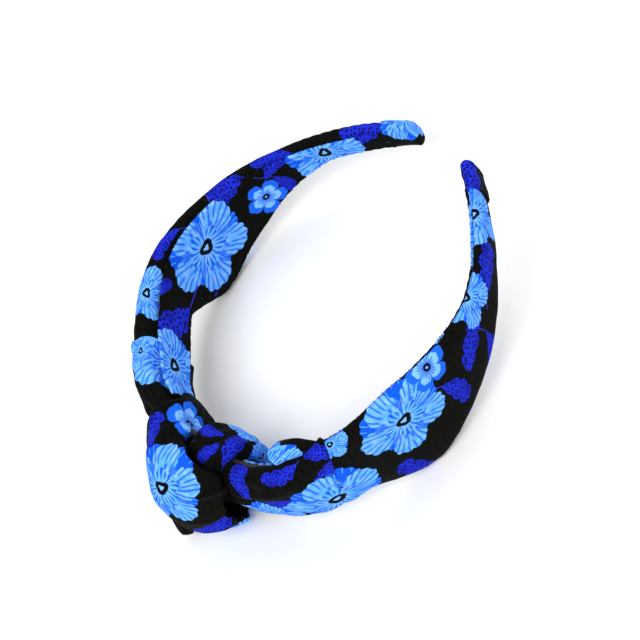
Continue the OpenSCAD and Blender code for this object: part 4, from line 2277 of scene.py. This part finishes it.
ARM_FOLDS = {
    Side.LEFT: {"cover_start": 40.0, "neck_end": 47.0, "fold_step": 0.15},
    Side.RIGHT: {"cover_start": 52.0, "neck_end": 69.5, "fold_lean": 9.5},
}
ARM_OUTLINES = {
    Side.LEFT: {
        "front": Profile(
            (
                (10, 38), (30, 40.5), (44, 42), (86, 43.5), (94, 43),
                (120, 37.5), (140, 33), (160, 31.5), (210, 31),
            ),
            3.0,
        ),
        "rear": Profile(
            (
                (10, 12), (30, 9.5), (58, 11), (69, 15.2), (86, 0.4), (94, 0.0),
                (108, 3.0), (120, 6.2), (140, 13.4), (160, 19.5), (210, 20),
            ),
            1.6,
        ),
        "outer": Profile(
            (
                (10, 8), (28, 7.2), (42, 5.8), (56, 5.2), (74, 6.4), (84, 5.8),
                (96, 4.4), (120, 4.2), (180, 3.8), (192, 2.4), (200, 1.8),
            ),
            4.0,
        ),
        "inner": Profile(
            (
                (10, -3.6), (28, -4.6), (42, -7.2), (56, -7.0),
                (76, -3.2), (90, -2.5), (200, -2.4),
            ),
            4.0,
        ),
    },
    Side.RIGHT: {
        "front": Profile(
            (
                (10, 34), (30, 35.5), (40, 37.5), (52, 42), (72, 44), (86, 45.0), (94, 45.6),
                (101, 44.6), (108, 42.4), (120, 39.2), (140, 33.8), (160, 32), (210, 31),
            ),
            3.0,
        ),
        "rear": Profile(
            (
                (10, 11), (30, 8.5), (58, 7.5), (69, 9.5), (86, 0.4),
                (94, 0.0), (120, 7.5), (140, 14), (160, 19.5), (210, 20),
            ),
            1.6,
        ),
        "outer": Profile(
            (
                (10, 8), (32, 9.2), (44, 9.0), (69, 5.6), (86, 5.3), (100, 5.2),
                (112, 4.4), (130, 3.0), (170, 2.2), (188, 1.5), (200, 1.3),
            ),
            4.0,
        ),
        "inner": Profile(
            ((10, -1.6), (38, -2.0), (50, -3.0), (60, -3.0), (80, -2.5), (200, -2.4)), 4.0
        ),
    },
}
BIG, SMALL, LEAF, DROP = Layer


def flat_print(*motifs: Motif) -> Print:
    """Motifs that lie by the cloth's own grid."""
    return Print(motifs)


def round_print(*motifs: Motif) -> Print:
    """Motifs that lie round a bulging form."""
    return Print(motifs, Wrap.ROUND)


ARM_PRINTS = {
    Side.LEFT: (
        flat_print(
            Motif(BIG, 66, 47, 12.5, 10),
            Motif(LEAF, 87, 46, 7.5, 0),
            Motif(LEAF, 120, 42, 9, 0),
            Motif(LEAF, 139, 36, 8, 0),
            Motif(LEAF, 179, 33, 10, 0),
            Motif(BIG, 158, 10, 14, 0),
            Motif(BIG, 98, 12, 17, 20),
            Motif(SMALL, 128, 20, 8.5, 20),
            Motif(DROP, 108, 30, 9, 60),
        ),
        flat_print(Motif(BIG, 37, 57, 19, 30), Motif(BIG, 41, 46, 8.5, 10), Motif(LEAF, 30, 20, 12, 40)),
        flat_print(
            Motif(BIG, 95.5, 26, 22, 30),
            Motif(SMALL, 127, 20, 9.2, 40),
            Motif(BIG, 160, 26.5, 18.5, 70),
            Motif(LEAF, 119, 37, 9.5, 20),
            Motif(LEAF, 140, 32, 8.5, 200),
            Motif(LEAF, 179, 32, 10, 10),
            Motif(DROP, 71, 38, 5, 150),
            Motif(LEAF, 58, 31, 15, -47),
            Motif(DROP, 78, 8, 6, 0),
            Motif(BIG, 36, 30, 19, 15),
            Motif(DROP, 137, 21, 6, 100),
            Motif(LEAF, 28.5, 25, 9, -101),
        ),
        flat_print(Motif(BIG, 197, 30, 13, 40)),
    ),
    Side.RIGHT: (
        flat_print(
            Motif(BIG, 94.5, 33, 18.2, 34),
            Motif(SMALL, 112, 40.5, 8.6, 0),
            Motif(LEAF, 113, 21, 8.5, 100),
            Motif(LEAF, 85, 6, 10, -65),
            Motif(LEAF, 127, 26, 10, -150),
            Motif(BIG, 141, 36, 12.5, 10),
            Motif(LEAF, 155, 28, 10, 180),
            Motif(BIG, 176, 33, 14.5, 35),
            Motif(LEAF, 190, 27, 8, 0),
            Motif(BIG, 71, 45, 7.5, 0),
            Motif(BIG, 59, 17.5, 18.5, 20),
            Motif(DROP, 132, 14, 7, 60),
        ),
        flat_print(
            Motif(BIG, 59, 17.5, 18.5, 20),
            Motif(LEAF, 66.5, 45.5, 7, -26),
            Motif(LEAF, 64.5, 36, 6.5, 40),
            Motif(LEAF, 50.3, 42, 7.5, 15),
            Motif(LEAF, 43.4, 27.5, 6.5, -10),
            Motif(DROP, 32.5, 36.5, 8.0, -76),
            Motif(BIG, 36, 15.5, 12, 0),
            Motif(BIG, 40, 70, 16, 0),
        ),
        flat_print(
            Motif(BIG, 40, 30, 17, 10),
            Motif(BIG, 118, 22, 18, 0),
            Motif(SMALL, 92, 24, 9),
            Motif(LEAF, 72, 30, 12, 30),
            Motif(LEAF, 143, 26, 9, 10),
            Motif(BIG, 168, 27, 15, 10),
            Motif(DROP, 98, 8, 7, 10),
        ),
        flat_print(Motif(LEAF, 193, 32, 10, 0), Motif(LEAF, 195, 12, 8, 180)),
    ),
}
KNOT_PRINTS = {
    "core": flat_print(),
    "shell": round_print(
        Motif(SMALL, 6, 12, 9.6, 20),
        Motif(LEAF, -14, 38, 9, -50),
        Motif(BIG, 4.4, 48, 18, 35),
        Motif(LEAF, 21, -64, 9.5, 25),
        Motif(BIG, 7, -10, 11, 0),
        Motif(BIG, 10, -40, 16, 60),
        Motif(LEAF, -12, -55, 8, 100),
        Motif(SMALL, -10, -20, 8, 0),
    ),
    "ring": round_print(
        Motif(LEAF, 23.7, 10.9, 6.5, 60),
        Motif(LEAF, 13.6, 5.0, 8.2, -60),
        Motif(LEAF, 16.4, 15.5, 6.5, 10),
        Motif(BIG, -0.5, 0, 8.8, 0),
        Motif(BIG, -28, 12, 13, 0),
    ),
    "tuck": round_print(Motif(LEAF, 3, 5, 6, 0)),
    "curl": round_print(Motif(BIG, 1, 1, 15.5, 20)),
}


def main() -> None:
    """Builds the headband and its studio."""
    logging.basicConfig(level=logging.INFO, format="%(name)s: %(message)s")
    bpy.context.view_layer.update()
    line = HoopLine(crown_y=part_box("hoop")[0].y / MM)
    finishes = Finishes()
    Studio().build(finishes)
    needle = Needlework(finishes.thread)
    for side in Side:
        shape = ArmShape(line, side, **ARM_OUTLINES[side])
        arm = Arm(shape, *ARM_PRINTS[side], **ARM_FOLDS[side])
        arm.build(finishes)
        arm.sew(needle)
    Knot(line, KNOT_PRINTS).build(finishes, needle)
    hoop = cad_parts["hoop"]
    hoop.data.materials.clear()
    hoop.data.materials.append(finishes.plastic)
    report(hoop)
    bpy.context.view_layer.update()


if __name__ == "__main__":
    main()
